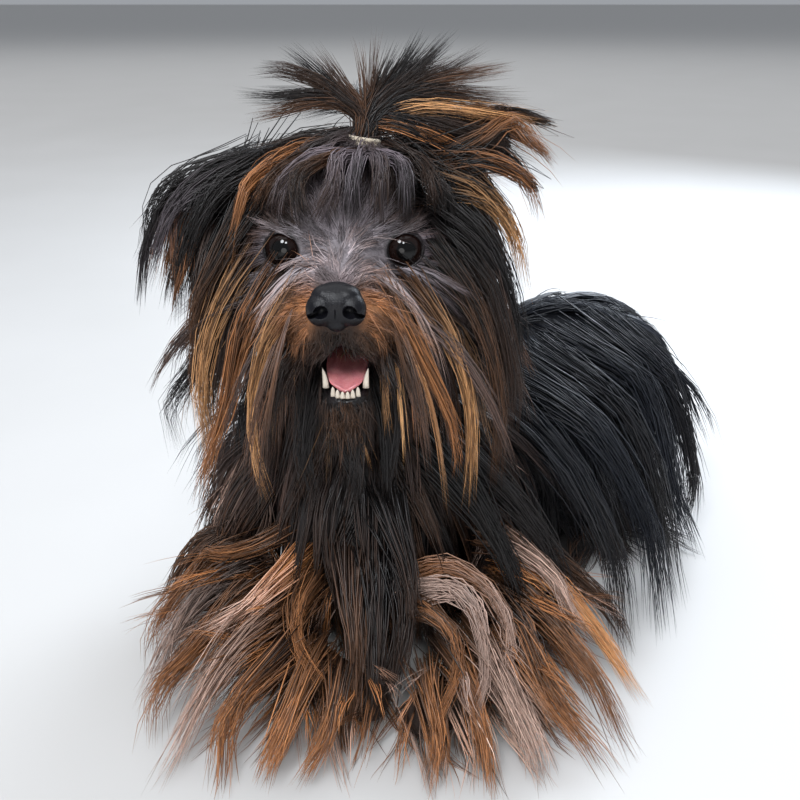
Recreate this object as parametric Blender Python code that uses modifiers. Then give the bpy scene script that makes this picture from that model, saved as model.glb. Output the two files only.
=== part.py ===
"""A life-size still model of a young long-coated terrier, lying with its head up.

The dog faces -Y with +Z up. Sizes are in metres. Everything is laid out from a point on the
floor under the eyes, and is moved at the end so that the origin is the bottom centre of the box.
"""

import math

import bmesh
import bpy
import numpy as np
from mathutils import Matrix, Vector
from mathutils.bvhtree import BVHTree

MM = 0.001
GAP = 0.35 * MM  # kept between touching nodes
COAT_GAP = 0.45 * MM  # kept between a coat and the other nodes' flesh
DOWN = Vector((0, 0, -1))
SEED = 7
FLOOR_LIFT = 0.8 * MM  # the middle of a lock that lies on the floor
SPREAD_HEIGHT = 34 * MM  # below this the locks turn flat side up, to spread on the floor
SEAM_MARGIN = 3.5 * MM  # no lock is rooted closer than this to another node

# Head: its own frame has its origin midway between the eyes, and is then pitched and raised
EYE_HEIGHT = 180 * MM
HEAD_PITCH = math.radians(8)
EYE_SPACING = 43 * MM
EYE_RADIUS = 9 * MM
SOCKET_ROOM = 0.7 * MM
MUZZLE_LENGTH = 37 * MM
NOSE_WIDTH = 19 * MM
EYE_TOE_OUT = math.radians(12)
NECK_CUT = Vector((0, 20, 133)) * MM
NECK_CUT_TILT = math.radians(20)
JAW_DROP = math.radians(18)

# Each ear's root, tip and the way its cup faces, in millimetres
EARS = {
    "right": ((-27, 36, 198), (-70, 22, 196), (-0.2, -1, 0.5)),
    "left": ((30, 36, 200), (64, 28, 232), (0.3, -1, 0.2)),
}
EAR_WIDTH = 34 * MM
EAR_THICKNESS = 2.4 * MM
EAR_CUP = 7 * MM

# The band round the forelock
BAND_PLACE = Vector((7, 25, 215)) * MM
BAND_AXIS = Vector((0.15, 0.1, 1))
BAND_RADIUS = 6.4 * MM
BAND_THICKNESS = 1.2 * MM

# How a copy is swollen: passes over the faces round a corner, and the corner's furthest move
SWELL_STEPS = 8
MOST_SWELL = 4
SLIVER_AREA = 0.0001 * MM * MM

# Fineness of the flesh
VOXEL = 2.0 * MM
FLESH_TRIANGLES = 1500
HEAD_TRIANGLES = 1250

# Colours of the plain solids
BLACK_COAT = (0.018, 0.017, 0.021)
TAN_COAT = (0.42, 0.19, 0.07)
GREY_TAN = (0.16, 0.12, 0.10)
NOSE_BLACK = (0.012, 0.012, 0.016)
EYE_BROWN = (0.010, 0.006, 0.005)
TONGUE_PINK = (0.62, 0.20, 0.22)
BAND_CREAM = (0.75, 0.66, 0.52)


def vec(x, y, z):
    """A point given in millimetres."""
    return Vector((x, y, z)) * MM


def head_point(x, y, z):
    """A point given in millimetres in the head's own frame."""
    return Matrix.Rotation(-HEAD_PITCH, 3, "X") @ vec(x, y, z) + Vector((0, 0, EYE_HEIGHT))


def new_object(name, mesh):
    made = bpy.data.objects.new(name, mesh)
    work.objects.link(made)
    return made


def from_bmesh(name, bm):
    mesh = bpy.data.meshes.new(name)
    bm.to_mesh(mesh)
    bm.free()
    return in_order(new_object(name, mesh))


def ball(centre, radii, turn=None, segments=20):
    """An ellipsoid. Its radii are along its own axes, which turn rotates."""
    bm = bmesh.new()
    bmesh.ops.create_uvsphere(bm, u_segments=segments, v_segments=segments // 2 + 2, radius=1)
    shape = Matrix.Diagonal((*radii, 1))
    if turn is not None:
        shape = turn.to_4x4() @ shape
    bmesh.ops.transform(bm, matrix=Matrix.Translation(centre) @ shape, verts=bm.verts)
    return from_bmesh("ball", bm)


def block(low, high):
    """A box between two corners."""
    bm = bmesh.new()
    bmesh.ops.create_cube(bm, size=1)
    place = Matrix.Translation((low + high) / 2) @ Matrix.Diagonal((*(high - low), 1))
    bmesh.ops.transform(bm, matrix=place, verts=bm.verts)
    return from_bmesh("block", bm)


def smooth_path(points, count):
    """Points evenly spread in parameter along a Catmull-Rom curve through rows of any size."""
    points = [np.array(point) for point in points]
    padded = [points[0] * 2 - points[1], *points, points[-1] * 2 - points[-2]]
    path = []
    for i in range(count):
        place = i / (count - 1) * (len(points) - 1)
        k = min(int(place), len(points) - 2)
        t = place - k
        a, b, c, d = padded[k : k + 4]
        path.append(
            (b * 2 + (c - a) * t + (a * 2 - b * 5 + c * 4 - d) * t * t + (b * 3 - a - c * 3 + d) * t**3) / 2
        )
    return path


def smooth_places(points, count):
    return [Vector(place) for place in smooth_path(points, count)]


def limb(points, radii, count=12):
    """Balls strung along a curve, close enough that remeshing makes one limb of them."""
    places = smooth_path([(*p, r) for p, r in zip(points, radii)], count)
    return [ball(Vector(q[:3]), (q[3],) * 3) for q in places]


def apply_modifiers(obj):
    graph = bpy.context.evaluated_depsgraph_get()
    mesh = bpy.data.meshes.new_from_object(obj.evaluated_get(graph))
    obj.modifiers.clear()
    obj.data = mesh
    return in_order(obj)


def discard(objects):
    for obj in objects:
        bpy.data.objects.remove(obj)


def merged(name, pieces):
    """One object that holds the pieces' meshes side by side."""
    bm = bmesh.new()
    for piece in pieces:
        bm.from_mesh(piece.data)
    discard(pieces)
    return from_bmesh(name, bm)


def in_order(obj):
    """Rebuilds a mesh with its points and faces sorted, so that each run gives the same one."""
    places = np.array([v.co for v in obj.data.vertices]).round(8)
    order = np.lexsort(places.T)
    rank = np.empty(len(order), int)
    rank[order] = np.arange(len(order))
    faces = []
    for polygon in obj.data.polygons:
        corners = [int(rank[k]) for k in polygon.vertices]
        first = corners.index(min(corners))
        faces.append(corners[first:] + corners[:first])
    mesh = bpy.data.meshes.new(obj.name)
    mesh.from_pydata(places[order].tolist(), [], sorted(faces))
    obj.data = mesh
    return obj


def blended(name, pieces, triangles, smoothing=6):
    """Overlapping pieces melted into one smooth skin."""
    obj = merged(name, pieces)
    remesh = obj.modifiers.new("melt", "REMESH")
    remesh.mode = "VOXEL"
    remesh.voxel_size = VOXEL
    apply_modifiers(obj)
    soften = obj.modifiers.new("soften", "SMOOTH")
    soften.factor = 0.5
    soften.iterations = smoothing
    apply_modifiers(obj)
    obj.data.calc_loop_triangles()
    reduce_faces = obj.modifiers.new("reduce", "DECIMATE")
    reduce_faces.ratio = triangles / len(obj.data.loop_triangles)
    return apply_modifiers(obj)


def boolean(obj, others, operation):
    """Joins, cuts or keeps with all the other objects at once, and removes them."""
    if not others:
        return obj
    group = bpy.data.collections.new("operands")
    bpy.context.scene.collection.children.link(group)
    for other in others:
        group.objects.link(other)
        work.objects.unlink(other)
    modifier = obj.modifiers.new("boolean", "BOOLEAN")
    modifier.operation = operation
    modifier.solver = "MANIFOLD"
    modifier.operand_type = "COLLECTION"
    modifier.collection = group
    apply_modifiers(obj)
    discard(others)
    bpy.data.collections.remove(group)
    return obj


def copy_of(obj, swell=0.0):
    """A copy, with each corner moved so that every face round it goes out by the swell."""
    made = new_object(obj.name + "_copy", obj.data.copy())
    if swell:
        around = [[] for _ in made.data.vertices]
        for polygon in made.data.polygons:
            if polygon.area > SLIVER_AREA:
                for k in polygon.vertices:
                    around[k].append(polygon.normal.copy())
        for vertex, normals in zip(made.data.vertices, around):
            move = Vector()
            for normal in normals * SWELL_STEPS:
                move += normal * max(0, swell - normal.dot(move))
            if move.length > MOST_SWELL * swell:
                move *= MOST_SWELL * swell / move.length
            vertex.co += move
    return made


def part_off(whole, cutter):
    """What lies inside the cutter, as a new object. The whole is cut back from it by the gap."""
    inside = boolean(copy_of(whole), [copy_of(cutter)], "INTERSECT")
    boolean(whole, [copy_of(cutter, swell=GAP)], "DIFFERENCE")
    discard([cutter])
    return inside


def keep_largest(obj):
    """Removes loose scraps and sealed hollows, leaving the largest closed surface."""
    bm = bmesh.new()
    bm.from_mesh(obj.data)
    islands, seen = [], set()
    for start in bm.verts:
        if start in seen:
            continue
        seen.add(start)
        front, island = [start], []
        while front:
            vert = front.pop()
            island.append(vert)
            for edge in vert.link_edges:
                other = edge.other_vert(vert)
                if other not in seen:
                    seen.add(other)
                    front.append(other)
        islands.append(island)
    islands.sort(key=len, reverse=True)
    for island in islands[1:]:
        bmesh.ops.delete(bm, geom=island, context="VERTS")
    bm.to_mesh(obj.data)
    bm.free()
    return obj


# The torso is a string of sections along the spine: centre, half width, half height
SPINE = [
    (6, 4, 64, 28, 34),
    (8, 38, 56, 42, 57),
    (26, 72, 55, 43, 58),
    (60, 100, 56, 39, 54),
    (98, 124, 59, 40, 59),
    (130, 144, 58, 37, 55),
    (152, 156, 64, 22, 32),
]
SPINE_STEPS = 31
RUMP_CENTRE = vec(118, 138, 58)
RUMP_YAW = math.radians(60)  # the hips lie turned to the dog's left of the head's own line
RUMP_AXIS = Vector((math.sin(RUMP_YAW), math.cos(RUMP_YAW), 0))
RUMP_LEFT = Vector((math.cos(RUMP_YAW), -math.sin(RUMP_YAW), 0))

# Legs as joints, in millimetres, with the radius at each
FORELEG_RIGHT = [(-34, 40, 78), (-56, 26, 30), (-42, 0, 21), (-26, -26, 17), (-8, -44, 11), (8, -52, 9)]
FORELEG_LEFT = [(48, 46, 78), (70, 30, 30), (66, 0, 21), (59, -30, 17), (46, -50, 11), (31, -60, 9)]
FORELEG_RADII = [20, 14, 11.5, 10.5, 11.5, 10]
HINDLEG_LEFT = [(135, 116, 76), (100, 80, 48), (128, 84, 26), (152, 90, 14), (128, 70, 10), (100, 48, 8.5)]
HINDLEG_RADII = [26, 17, 12, 9.5, 9, 9.5]
TAIL = [(158, 162, 84), (172, 172, 70), (184, 184, 44), (192, 200, 20), (194, 216, 9)]
TAIL_RADII = [10, 8.5, 7.5, 6.5, 5]


def mirrored_in_rump(point):
    """The same place on the far side of the hips."""
    offset = vec(*point) - RUMP_CENTRE
    return (vec(*point) - RUMP_LEFT * 2 * offset.dot(RUMP_LEFT)) / MM


def torso_pieces():
    pieces = []
    sections = smooth_path(SPINE, SPINE_STEPS)
    for i, row in enumerate(sections):
        along = sections[min(i + 1, SPINE_STEPS - 1)] - sections[max(i - 1, 0)]
        yaw = Matrix.Rotation(-math.atan2(along[0], along[1]), 3, "Z")
        pieces.append(ball(vec(*row[:3]), (row[3] * MM, 22 * MM, row[4] * MM), yaw))
    return pieces


def neck_pieces():
    return limb(
        [vec(6, 34, 96), vec(3, 40, 128), head_point(0, 40, -8)], [36 * MM, 32 * MM, 28 * MM], 7
    )


def head_pieces():
    """The skull, cheeks, muzzle and dropped lower jaw, before the eyes and mouth are cut."""
    level = Matrix.Rotation(-HEAD_PITCH, 3, "X")
    pieces = [
        ball(head_point(0, 36, 8), vec(34, 38, 29), level, segments=28),
        ball(head_point(0, 8, 9), vec(25, 17, 19), level),
        ball(head_point(0, 34, -24), vec(23, 26, 22), level),
    ]
    for side in (-1, 1):
        pieces.append(ball(head_point(side * 21, 24, -10), vec(17, 24, 19), level))
        pieces.append(ball(head_point(side * 7.5, -26, -18), vec(10, 14, 9.5), level))
    bridge = [head_point(0, 4, -8), head_point(0, 2 - MUZZLE_LENGTH / MM, -13)]
    pieces += limb(bridge, [18 * MM, 12 * MM], 9)
    pieces += limb([head_point(0, 16, -28), head_point(0, -26, -47)], [15 * MM, 8.5 * MM], 9)
    return pieces


def leg_pieces(joints, radii):
    return limb([vec(*p) for p in joints], [r * MM for r in radii], 26)


def leg_cutter(joints, radii, room):
    """A loose sleeve round a leg, whose rounded end makes the cut at the shoulder or hip."""
    return blended("sleeve", limb([vec(*p) for p in joints], [(r + room) * MM for r in radii], 26), 170)


def make_material(name, colour, roughness):
    material = bpy.data.materials.new(name)
    material.use_nodes = True
    shader = material.node_tree.nodes["Principled BSDF"]
    shader.inputs["Base Color"].default_value = (*colour, 1)
    shader.inputs["Roughness"].default_value = roughness
    return material


def finish(obj, name, colour, roughness=0.6):
    """Names a node, gives it its finish and moves it to the object's own collection."""
    obj.name = name
    obj.data.name = name
    obj.data.materials.clear()
    obj.data.materials.append(make_material(name, colour, roughness))
    work.objects.unlink(obj)
    dog.objects.link(obj)
    return obj


def blade(path, facings, half_width, half_thickness, sides=4, fat=0.0):
    """A flat tapered form lofted along a path, from a flat root to a point."""
    bm = bmesh.new()
    last = len(path) - 1
    rings = []
    for i, (place, facing) in enumerate(zip(path[:last], facings)):
        t = i / last
        along = (path[i + 1] - path[max(i - 1, 0)]).normalized()
        across = along.cross(facing).normalized()
        out = across.cross(along).normalized()
        taper = (1 - t**3) ** 0.9 * (0.7 + 0.3 * min(1, 4 * t))
        wide = half_width * taper + fat
        thick = half_thickness * taper + fat
        centre = place - along * fat if i == 0 else place
        angles = [2 * math.pi * k / sides for k in range(sides)]
        rings.append([
            bm.verts.new(centre + across * wide * math.cos(a) + out * thick * math.sin(a)) for a in angles
        ])
    tip = bm.verts.new(path[last] + (path[last] - path[last - 1]).normalized() * 3 * fat)
    bm.faces.new(reversed(rings[0]))
    for low, high in zip(rings, rings[1:]):
        for k in range(sides):
            j = (k + 1) % sides
            if k < sides // 2:
                bm.faces.new((low[k], low[j], high[j]))
                bm.faces.new((low[k], high[j], high[k]))
            else:  # alike on the far side, so that a thin bent lock doesn't cross itself
                bm.faces.new((low[k], low[j], high[k]))
                bm.faces.new((low[j], high[j], high[k]))
    for k in range(sides):
        bm.faces.new((rings[-1][k], rings[-1][(k + 1) % sides], tip))
    bmesh.ops.recalc_face_normals(bm, faces=bm.faces)
    return from_bmesh("blade", bm)


# How the coat lies: places in millimetres with the way the hair is combed there, the length of
# its locks and how strongly they hang. The head's rows are also mirrored to the dog's right.
HEAD_GROOM = [
    ((9, -36, 170), (0.75, -0.35, -0.6), 92, 1.0),
    ((14, -20, 168), (0.7, -0.3, -0.6), 102, 1.0),
    ((18, -4, 172), (0.65, -0.35, -0.65), 104, 1.0),
    ((5, -22, 182), (0.9, -0.15, -0.1), 70, 1.0),
    ((4, -5, 192), (0.8, -0.3, -0.3), 45, 0.8),
    ((8, 2, 201), (0, 0.75, 0.65), 26, 0),
    ((30, 8, 204), (0.7, 0.1, -0.4), 50, 0.8),
    ((34, 22, 196), (0.7, -0.1, -0.7), 62, 0.8),
    ((37, 16, 172), (0.55, -0.25, -0.8), 80, 0.8),
    ((30, 30, 150), (0.5, -0.2, -0.85), 60, 0.6),
    ((16, 26, 214), (-0.6, 0.0, 0.6), 14, 0),
    ((12, 58, 214), (0.3, 0.8, -0.5), 50, 0.8),
    ((24, 66, 185), (0.5, 0.5, -0.7), 58, 0.8),
    ((4, -34, 134), (0.15, -0.5, -0.85), 27, 0.6),
    ((8, -5, 138), (0.2, -0.4, -0.9), 45, 0.6),
]
TORSO_GROOM = [
    ((40, 66, 108), (0.75, -0.3, -0.5), 92, 0.8),
    ((80, 92, 112), (0.55, -0.6, -0.5), 98, 0.8),
    ((118, 116, 116), (0.6, -0.5, -0.4), 92, 0.8),
    ((78, 64, 60), (0.5, -0.55, -0.65), 72, 0.8),
    ((6, -18, 80), (0.1, -0.5, -0.85), 58, 0.6),
    ((32, -6, 70), (0.6, -0.4, -0.7), 58, 0.6),
    ((-28, 0, 70), (-0.6, -0.4, -0.7), 58, 0.6),
    ((-25, 50, 90), (-0.8, 0.1, -0.6), 72, 0.8),
    ((14, 96, 106), (-0.65, 0.45, -0.6), 88, 0.8),
    ((60, 130, 110), (-0.45, 0.65, -0.6), 92, 0.8),
    ((100, 154, 108), (-0.35, 0.7, -0.6), 88, 0.8),
    ((50, 140, 50), (-0.4, 0.6, -0.7), 60, 0.8),
    ((156, 162, 74), (0.7, 0.5, -0.6), 50, 0.8),
]
NECK_GROOM = [
    ((-34, 34, 136), (-0.6, -0.2, -0.8), 62, 0.8),
    ((38, 34, 136), (0.6, -0.2, -0.8), 62, 0.8),
    ((4, 70, 140), (0.2, 0.75, -0.6), 56, 0.8),
    ((4, 4, 124), (0, -0.5, -0.85), 52, 0.6),
]
FORELEG_RIGHT_GROOM = [
    ((-52, 26, 52), (-0.5, -0.1, -0.85), 36, 0.6),
    ((-64, 22, 26), (-0.8, 0.1, -0.5), 38, 0.6),
    ((-46, 0, 26), (-0.75, -0.6, -0.3), 62, 0.6),
    ((-26, -30, 22), (-0.7, -0.7, -0.25), 64, 0.6),
    ((0, -52, 15), (-0.05, -0.95, -0.1), 34, 0.4),
]
FORELEG_LEFT_GROOM = [
    ((66, 28, 52), (0.5, -0.2, -0.8), 38, 0.6),
    ((78, 28, 28), (0.85, -0.3, -0.4), 52, 0.6),
    ((70, -2, 26), (0.85, -0.5, -0.3), 62, 0.6),
    ((60, -32, 22), (0.8, -0.6, -0.25), 62, 0.6),
    ((40, -56, 15), (0.3, -0.95, -0.1), 36, 0.4),
]
HINDLEG_GROOM = [
    ((120, 96, 74), (0.5, -0.5, -0.7), 56, 0.8),
    ((100, 78, 50), (0.3, -0.75, -0.6), 46, 0.8),
    ((150, 84, 20), (0.7, -0.3, -0.5), 34, 0.6),
    ((106, 52, 12), (-0.3, -0.9, -0.2), 26, 0.4),
]
TAIL_GROOM = [
    ((150, 160, 92), (0.6, 0.5, -0.5), 56, 0.8),
    ((184, 184, 50), (0.3, 0.4, -0.9), 46, 0.8),
    ((193, 206, 16), (0.3, 0.9, -0.2), 20, 0.4),
]
EAR_GROOM = {
    "ear_right": [
        ((-56, 28, 196), (-0.55, -0.3, -0.75), 50, 0.9),
        ((-34, 34, 200), (-0.3, -0.2, -0.9), 50, 0.9),
    ],
    "ear_left": [
        ((60, 30, 226), (0.5, -0.2, -0.5), 44, 0.9),
        ((44, 34, 206), (0.7, -0.2, -0.6), 50, 0.9),
    ],
}
# How many locks each node has and how wide they are at most, from the middle to an edge
LOCKS = {
    "head": (35, 10 * MM),
    "ear_right": (4, 11 * MM),
    "ear_left": (4, 10.5 * MM),
    "neck": (5, 15 * MM),
    "torso": (28, 18.5 * MM),
    "foreleg_right": (9, 12 * MM),
    "foreleg_left": (9, 12 * MM),
    "hindleg_left": (5, 15 * MM),
    "hindleg_right": (5, 15 * MM),
    "tail": (5, 9 * MM),
}
LOCK_HALF_THICKNESS = 1.5 * MM
LOCK_STEPS = 4
MOUTH_CLEARANCE = 11.5 * MM
EYE_CLEARANCE = 16.5 * MM
SHORT_LOCK = 48 * MM
LOCK_CURL = math.radians(9)  # spread of the sideways bend at each step of a lock
ROOT_DEPTH = 3.0 * MM
LIFT = 3.6 * MM  # how far a lock's middle rides above the flesh
TOPKNOT_LOCKS = 10
TOPKNOT_HALF_WIDTH = 6.0 * MM
TOPKNOT_REACH = 36 * MM
TOPKNOT_FROM = math.radians(-74)
TOPKNOT_TO = math.radians(86)
TOPKNOT_DEPTH = 0.35


def groom_at(place, rows):
    """The comb direction, length and droop at a place, blended from the nearest rows."""
    heading, length, droop, total = Vector(), 0, 0, 0
    for where, way, row_length, row_droop in rows:
        weight = 1 / ((place / MM - Vector(where)).length_squared + 9) ** 2
        heading += Vector(way).normalized() * weight
        length += row_length * weight
        droop += row_droop * weight
        total += weight
    return heading.normalized(), length * MM / total, droop / total


def comb(root, normal, heading, length, droop, curl, skin, depth):
    """The path of a lock that lies along the flesh, hangs under its weight and stops at the floor."""
    path, facings = [root - normal * depth], [normal]
    place, facing = root, normal
    steps = LOCK_STEPS if length > SHORT_LOCK else LOCK_STEPS - 1
    step = length / steps
    heading = (heading - normal * heading.dot(normal) * 0.8).normalized()
    for k in range(steps):
        heading = Matrix.Rotation(curl * (-1 if k % 2 else 1), 3, facing) @ heading
        place = place + heading * step
        near, flat, _, distance = skin.find_nearest(place)
        above = (place - near).dot(flat)
        if above < LIFT:
            place = near + flat * LIFT
            facing = flat
        elif distance < 12 * MM:
            facing = (facing + flat).normalized()
        if place.z < FLOOR_LIFT:
            place = Vector((place.x, place.y, FLOOR_LIFT))
            facing = (facing + Vector((0, 0, 1))).normalized()
        heading = ((place - path[-1]).normalized() + DOWN * droop * 0.6).normalized()
        if place.z < SPREAD_HEIGHT:
            facing = (facing + Vector((0, 0, 0.7))).normalized()
        path.append(place)
        facings.append(facing)
    return path, facings


def surface_roots(obj, count, allowed, rng):
    """Evenly spread points on a node's surface, each with its normal."""
    obj.data.calc_loop_triangles()
    places, normals = [], []
    for triangle in obj.data.loop_triangles:
        a, b, c = (np.array(obj.data.vertices[k].co) for k in triangle.vertices)
        for _ in range(1 + int(triangle.area / (9 * MM * MM))):
            u, v = sorted(rng.random(2))
            place = a * u + b * (v - u) + c * (1 - v)
            normal = Vector(triangle.normal)
            if allowed(Vector(place), normal):
                places.append(place)
                normals.append(normal)
    places = np.array(places)
    crowding = np.array([density(place) for place in places])
    chosen = [int(rng.integers(len(places)))]
    spread = np.full(len(places), np.inf)
    while len(chosen) <= count:
        spread = np.minimum(spread, np.linalg.norm(places - places[chosen[-1]], axis=1) * crowding)
        chosen.append(int(spread.argmax()))
    return [(Vector(places[k]), normals[k]) for k in chosen[:count]]


def density(place):
    """How much closer the locks stand on the muzzle and along the back than elsewhere."""
    if place[1] < 12 * MM and 148 * MM < place[2] < 186 * MM:
        return 2.0
    return 1.4 if 88 * MM < place[2] < 125 * MM and place[1] > 50 * MM else 1.0


def lock_pair(path, facings, half_width, half_thickness=LOCK_HALF_THICKNESS):
    """A lock and its swollen twin, which keeps later locks clear of it."""
    return (
        blade(path, facings, half_width, half_thickness),
        blade(path, facings, half_width, half_thickness, fat=GAP),
    )


def coat_of(name, nodes, trim, rows, skin, rng):
    """The locks of one node, rooted evenly over its free surface."""
    others = [nearness(obj) for other, obj in {**nodes, **trim}.items() if other != name]

    def allowed(place, normal):
        if any(tree.find_nearest(place)[3] < SEAM_MARGIN for tree in others):
            return False
        if name == "head":
            mouth = abs(place.x) < 9.5 * MM and place.y < 4 * MM and 133 * MM < place.z < 161 * MM
            by_an_eye = any((place - eye_centre(side)).length < 14 * MM for side in (-1, 1))
            return not mouth and not by_an_eye and place.y > -44 * MM
        return place.z > 7 * MM and normal.z > -0.6

    pairs = []
    count, half_width = LOCKS[name]
    depth = EAR_THICKNESS / 2 if name.startswith("ear") else ROOT_DEPTH
    for root, normal in surface_roots(nodes[name], count, allowed, rng):
        heading, length, droop = groom_at(root, rows)
        heading = (heading + Vector(rng.normal(0, 0.1, 3))).normalized()
        length *= rng.uniform(0.86, 1.12)
        if name == "head" and is_forelock(root):
            path, facings = gathered(root, normal, skin)
        else:
            curl = rng.normal(0, LOCK_CURL)
            path, facings = comb(root, normal, heading, length, droop, curl, skin, depth)
        width = half_width * rng.uniform(0.85, 1.2) * min(1, 0.45 + length / (80 * MM))
        if name == "head" and covers_face(path):
            continue
        pairs.append(lock_pair(path, facings, width))
    return pairs


def is_forelock(place):
    """Whether the hair at a place on the head is drawn up into the band."""
    return place.z > 197 * MM and abs(place.x) < 30 * MM and place.y < 50 * MM


def covers_face(path):
    """Whether a lock would hang over an eye, the nose or the open mouth."""
    for place in path[1:] + [a.lerp(b, 0.5) for a, b in zip(path, path[1:])]:
        if any((place - eye_centre(s) - eye_axis(s) * EYE_RADIUS).length < EYE_CLEARANCE for s in (-1, 1)):
            return True
        if abs(place.x) < MOUTH_CLEARANCE and place.y < -30 * MM and 126 * MM < place.z < 184 * MM:
            return True
    return False


def gathered(root, normal, skin):
    """The path of a forelock, which lies on the skull up to the band."""
    path, facings = [root - normal * ROOT_DEPTH], [normal]
    for k in range(1, LOCK_STEPS + 1):
        place = root.lerp(BAND_PLACE, k / (LOCK_STEPS + 1))
        near, flat, _, _ = skin.find_nearest(place)
        path.append(near + flat * LIFT)
        facings.append(flat)
    return path, facings


def topknot_locks(rng):
    """The free ends above the band: a fan from the dog's right, over the top, to its left."""
    pairs = []
    for k in range(TOPKNOT_LOCKS):
        turn = TOPKNOT_FROM + (TOPKNOT_TO - TOPKNOT_FROM) * k / (TOPKNOT_LOCKS - 1)
        aside = math.sin(turn)
        depth = TOPKNOT_DEPTH * (-1) ** k + rng.uniform(-0.2, 0.2)
        heading = Vector((0.5 * aside, depth, math.cos(turn) + 0.7)).normalized()
        reach = TOPKNOT_REACH + 12 * MM * aside**2 + 20 * MM * max(0, aside) ** 2
        reach *= rng.uniform(0.75, 1.15)
        place = BAND_PLACE - BAND_AXIS * 1.5 * MM
        path, step = [place], reach / LOCK_STEPS
        sweep = Vector((aside, 0.3 * depth, -0.55)) * rng.uniform(0.3, 0.55)
        for _ in range(LOCK_STEPS):
            place = place + heading * step
            heading = (heading + sweep * (0.3 + abs(aside))).normalized()
            path.append(place)
        facings = [Vector((0, -1, 0.15))] * len(path)
        pairs.append(lock_pair(path, facings, TOPKNOT_HALF_WIDTH * rng.uniform(0.8, 1.15)))
    return pairs


def nearness(*objects):
    """A search tree over the faces of some objects."""
    places, faces = [], []
    for obj in objects:
        first = len(places)
        places += [v.co.copy() for v in obj.data.vertices]
        faces += [[first + k for k in polygon.vertices] for polygon in obj.data.polygons]
    return BVHTree.FromPolygons(places, faces)


def mirrored_rows(rows):
    return rows + [((-x, y, z), (-a, b, c), length, droop) for (x, y, z), (a, b, c), length, droop in rows]


def rump_mirrored_rows(rows):
    """Rows for the far hind leg."""
    made = []
    for place, way, length, droop in rows:
        way = Vector(way)
        mirrored_way = way - RUMP_LEFT * 2 * way.dot(RUMP_LEFT)
        made.append((tuple(mirrored_in_rump(place)), tuple(mirrored_way), length, droop))
    return made


def flesh_nodes():
    """The bare dog, parted into its nodes with thin gaps."""
    nodes = {}
    nodes["head"] = head_flesh()
    body = torso_pieces() + neck_pieces() + leg_pieces(TAIL, TAIL_RADII)
    for joints, radii in legs.values():
        body += leg_pieces(joints, radii)
    body = blended("torso", body, FLESH_TRIANGLES)
    boolean(body, [above_neck(-GAP)], "DIFFERENCE")
    boolean(body, [copy_of(nodes["head"], COAT_GAP)], "DIFFERENCE")
    keep_largest(body)
    for name, (joints, radii) in legs.items():
        nodes[name] = keep_largest(part_off(body, leg_cutter(joints, radii, 4)))
    nodes["tail"] = keep_largest(part_off(body, leg_cutter(TAIL, TAIL_RADII, 3)))
    neck_cut = ball(vec(4, 44, 138), vec(52, 52, 30))
    nodes["neck"] = keep_largest(part_off(body, neck_cut))
    nodes["torso"] = keep_largest(body)
    return nodes


def above_neck(shift=0.0):
    """A block over the plane that parts the head from the neck, from throat to nape."""
    made = block(vec(-100, -150, 0), vec(100, 150, 200))
    made.data.transform(Matrix.Rotation(NECK_CUT_TILT, 4, "X"))
    lift = NECK_CUT + Vector((0, -math.sin(NECK_CUT_TILT), math.cos(NECK_CUT_TILT))) * shift
    made.data.transform(Matrix.Translation(lift))
    return made


def eye_centre(side):
    return head_point(side * EYE_SPACING / MM / 2, 4, 0)


def eye_axis(side):
    """The way an eye looks, slightly outwards."""
    return Vector((side * math.sin(EYE_TOE_OUT), -math.cos(EYE_TOE_OUT), 0.1)).normalized()


def ring(centre, axis, major, minor, around=13, sides=4):
    """A torus about an axis."""
    bm = bmesh.new()
    turn = axis.to_track_quat("Z", "Y").to_matrix()
    loops = []
    for i in range(around):
        a = 2 * math.pi * i / around
        out = turn @ Vector((math.cos(a), math.sin(a), 0))
        angles = [2 * math.pi * k / sides for k in range(sides)]
        loops.append([
            bm.verts.new(centre + out * (major + minor * math.cos(b)) + turn.col[2] * minor * math.sin(b))
            for b in angles
        ])
    for i in range(around):
        low, high = loops[i], loops[(i + 1) % around]
        for k in range(sides):
            bm.faces.new((low[k], low[(k + 1) % sides], high[(k + 1) % sides], high[k]))
    bmesh.ops.recalc_face_normals(bm, faces=bm.faces)
    return from_bmesh("ring", bm)


def cone(base, tip, radius, sides=4):
    bm = bmesh.new()
    axis = tip - base
    turn = axis.to_track_quat("Z", "Y").to_matrix().to_4x4()
    bmesh.ops.create_cone(
        bm, cap_ends=True, segments=sides, radius1=radius, radius2=radius * 0.25, depth=axis.length,
        matrix=Matrix.Translation((base + tip) / 2) @ turn,
    )
    return from_bmesh("cone", bm)


def lower_teeth():
    """Six small incisors between two canines, on the rim of the lower jaw."""
    teeth = []
    for side in (-1, 1):
        foot = head_point(side * 6.2, -28, -44)
        teeth.append(cone(foot, foot + vec(side * 0.6, -1.5, 9), 1.7 * MM))
        for k in range(3):
            foot = head_point(side * (1.1 + 1.7 * k), -33.2 + 0.9 * k, -44.5)
            teeth.append(cone(foot, foot + vec(0, -0.8, 5.5), 0.95 * MM))
    return teeth


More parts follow.
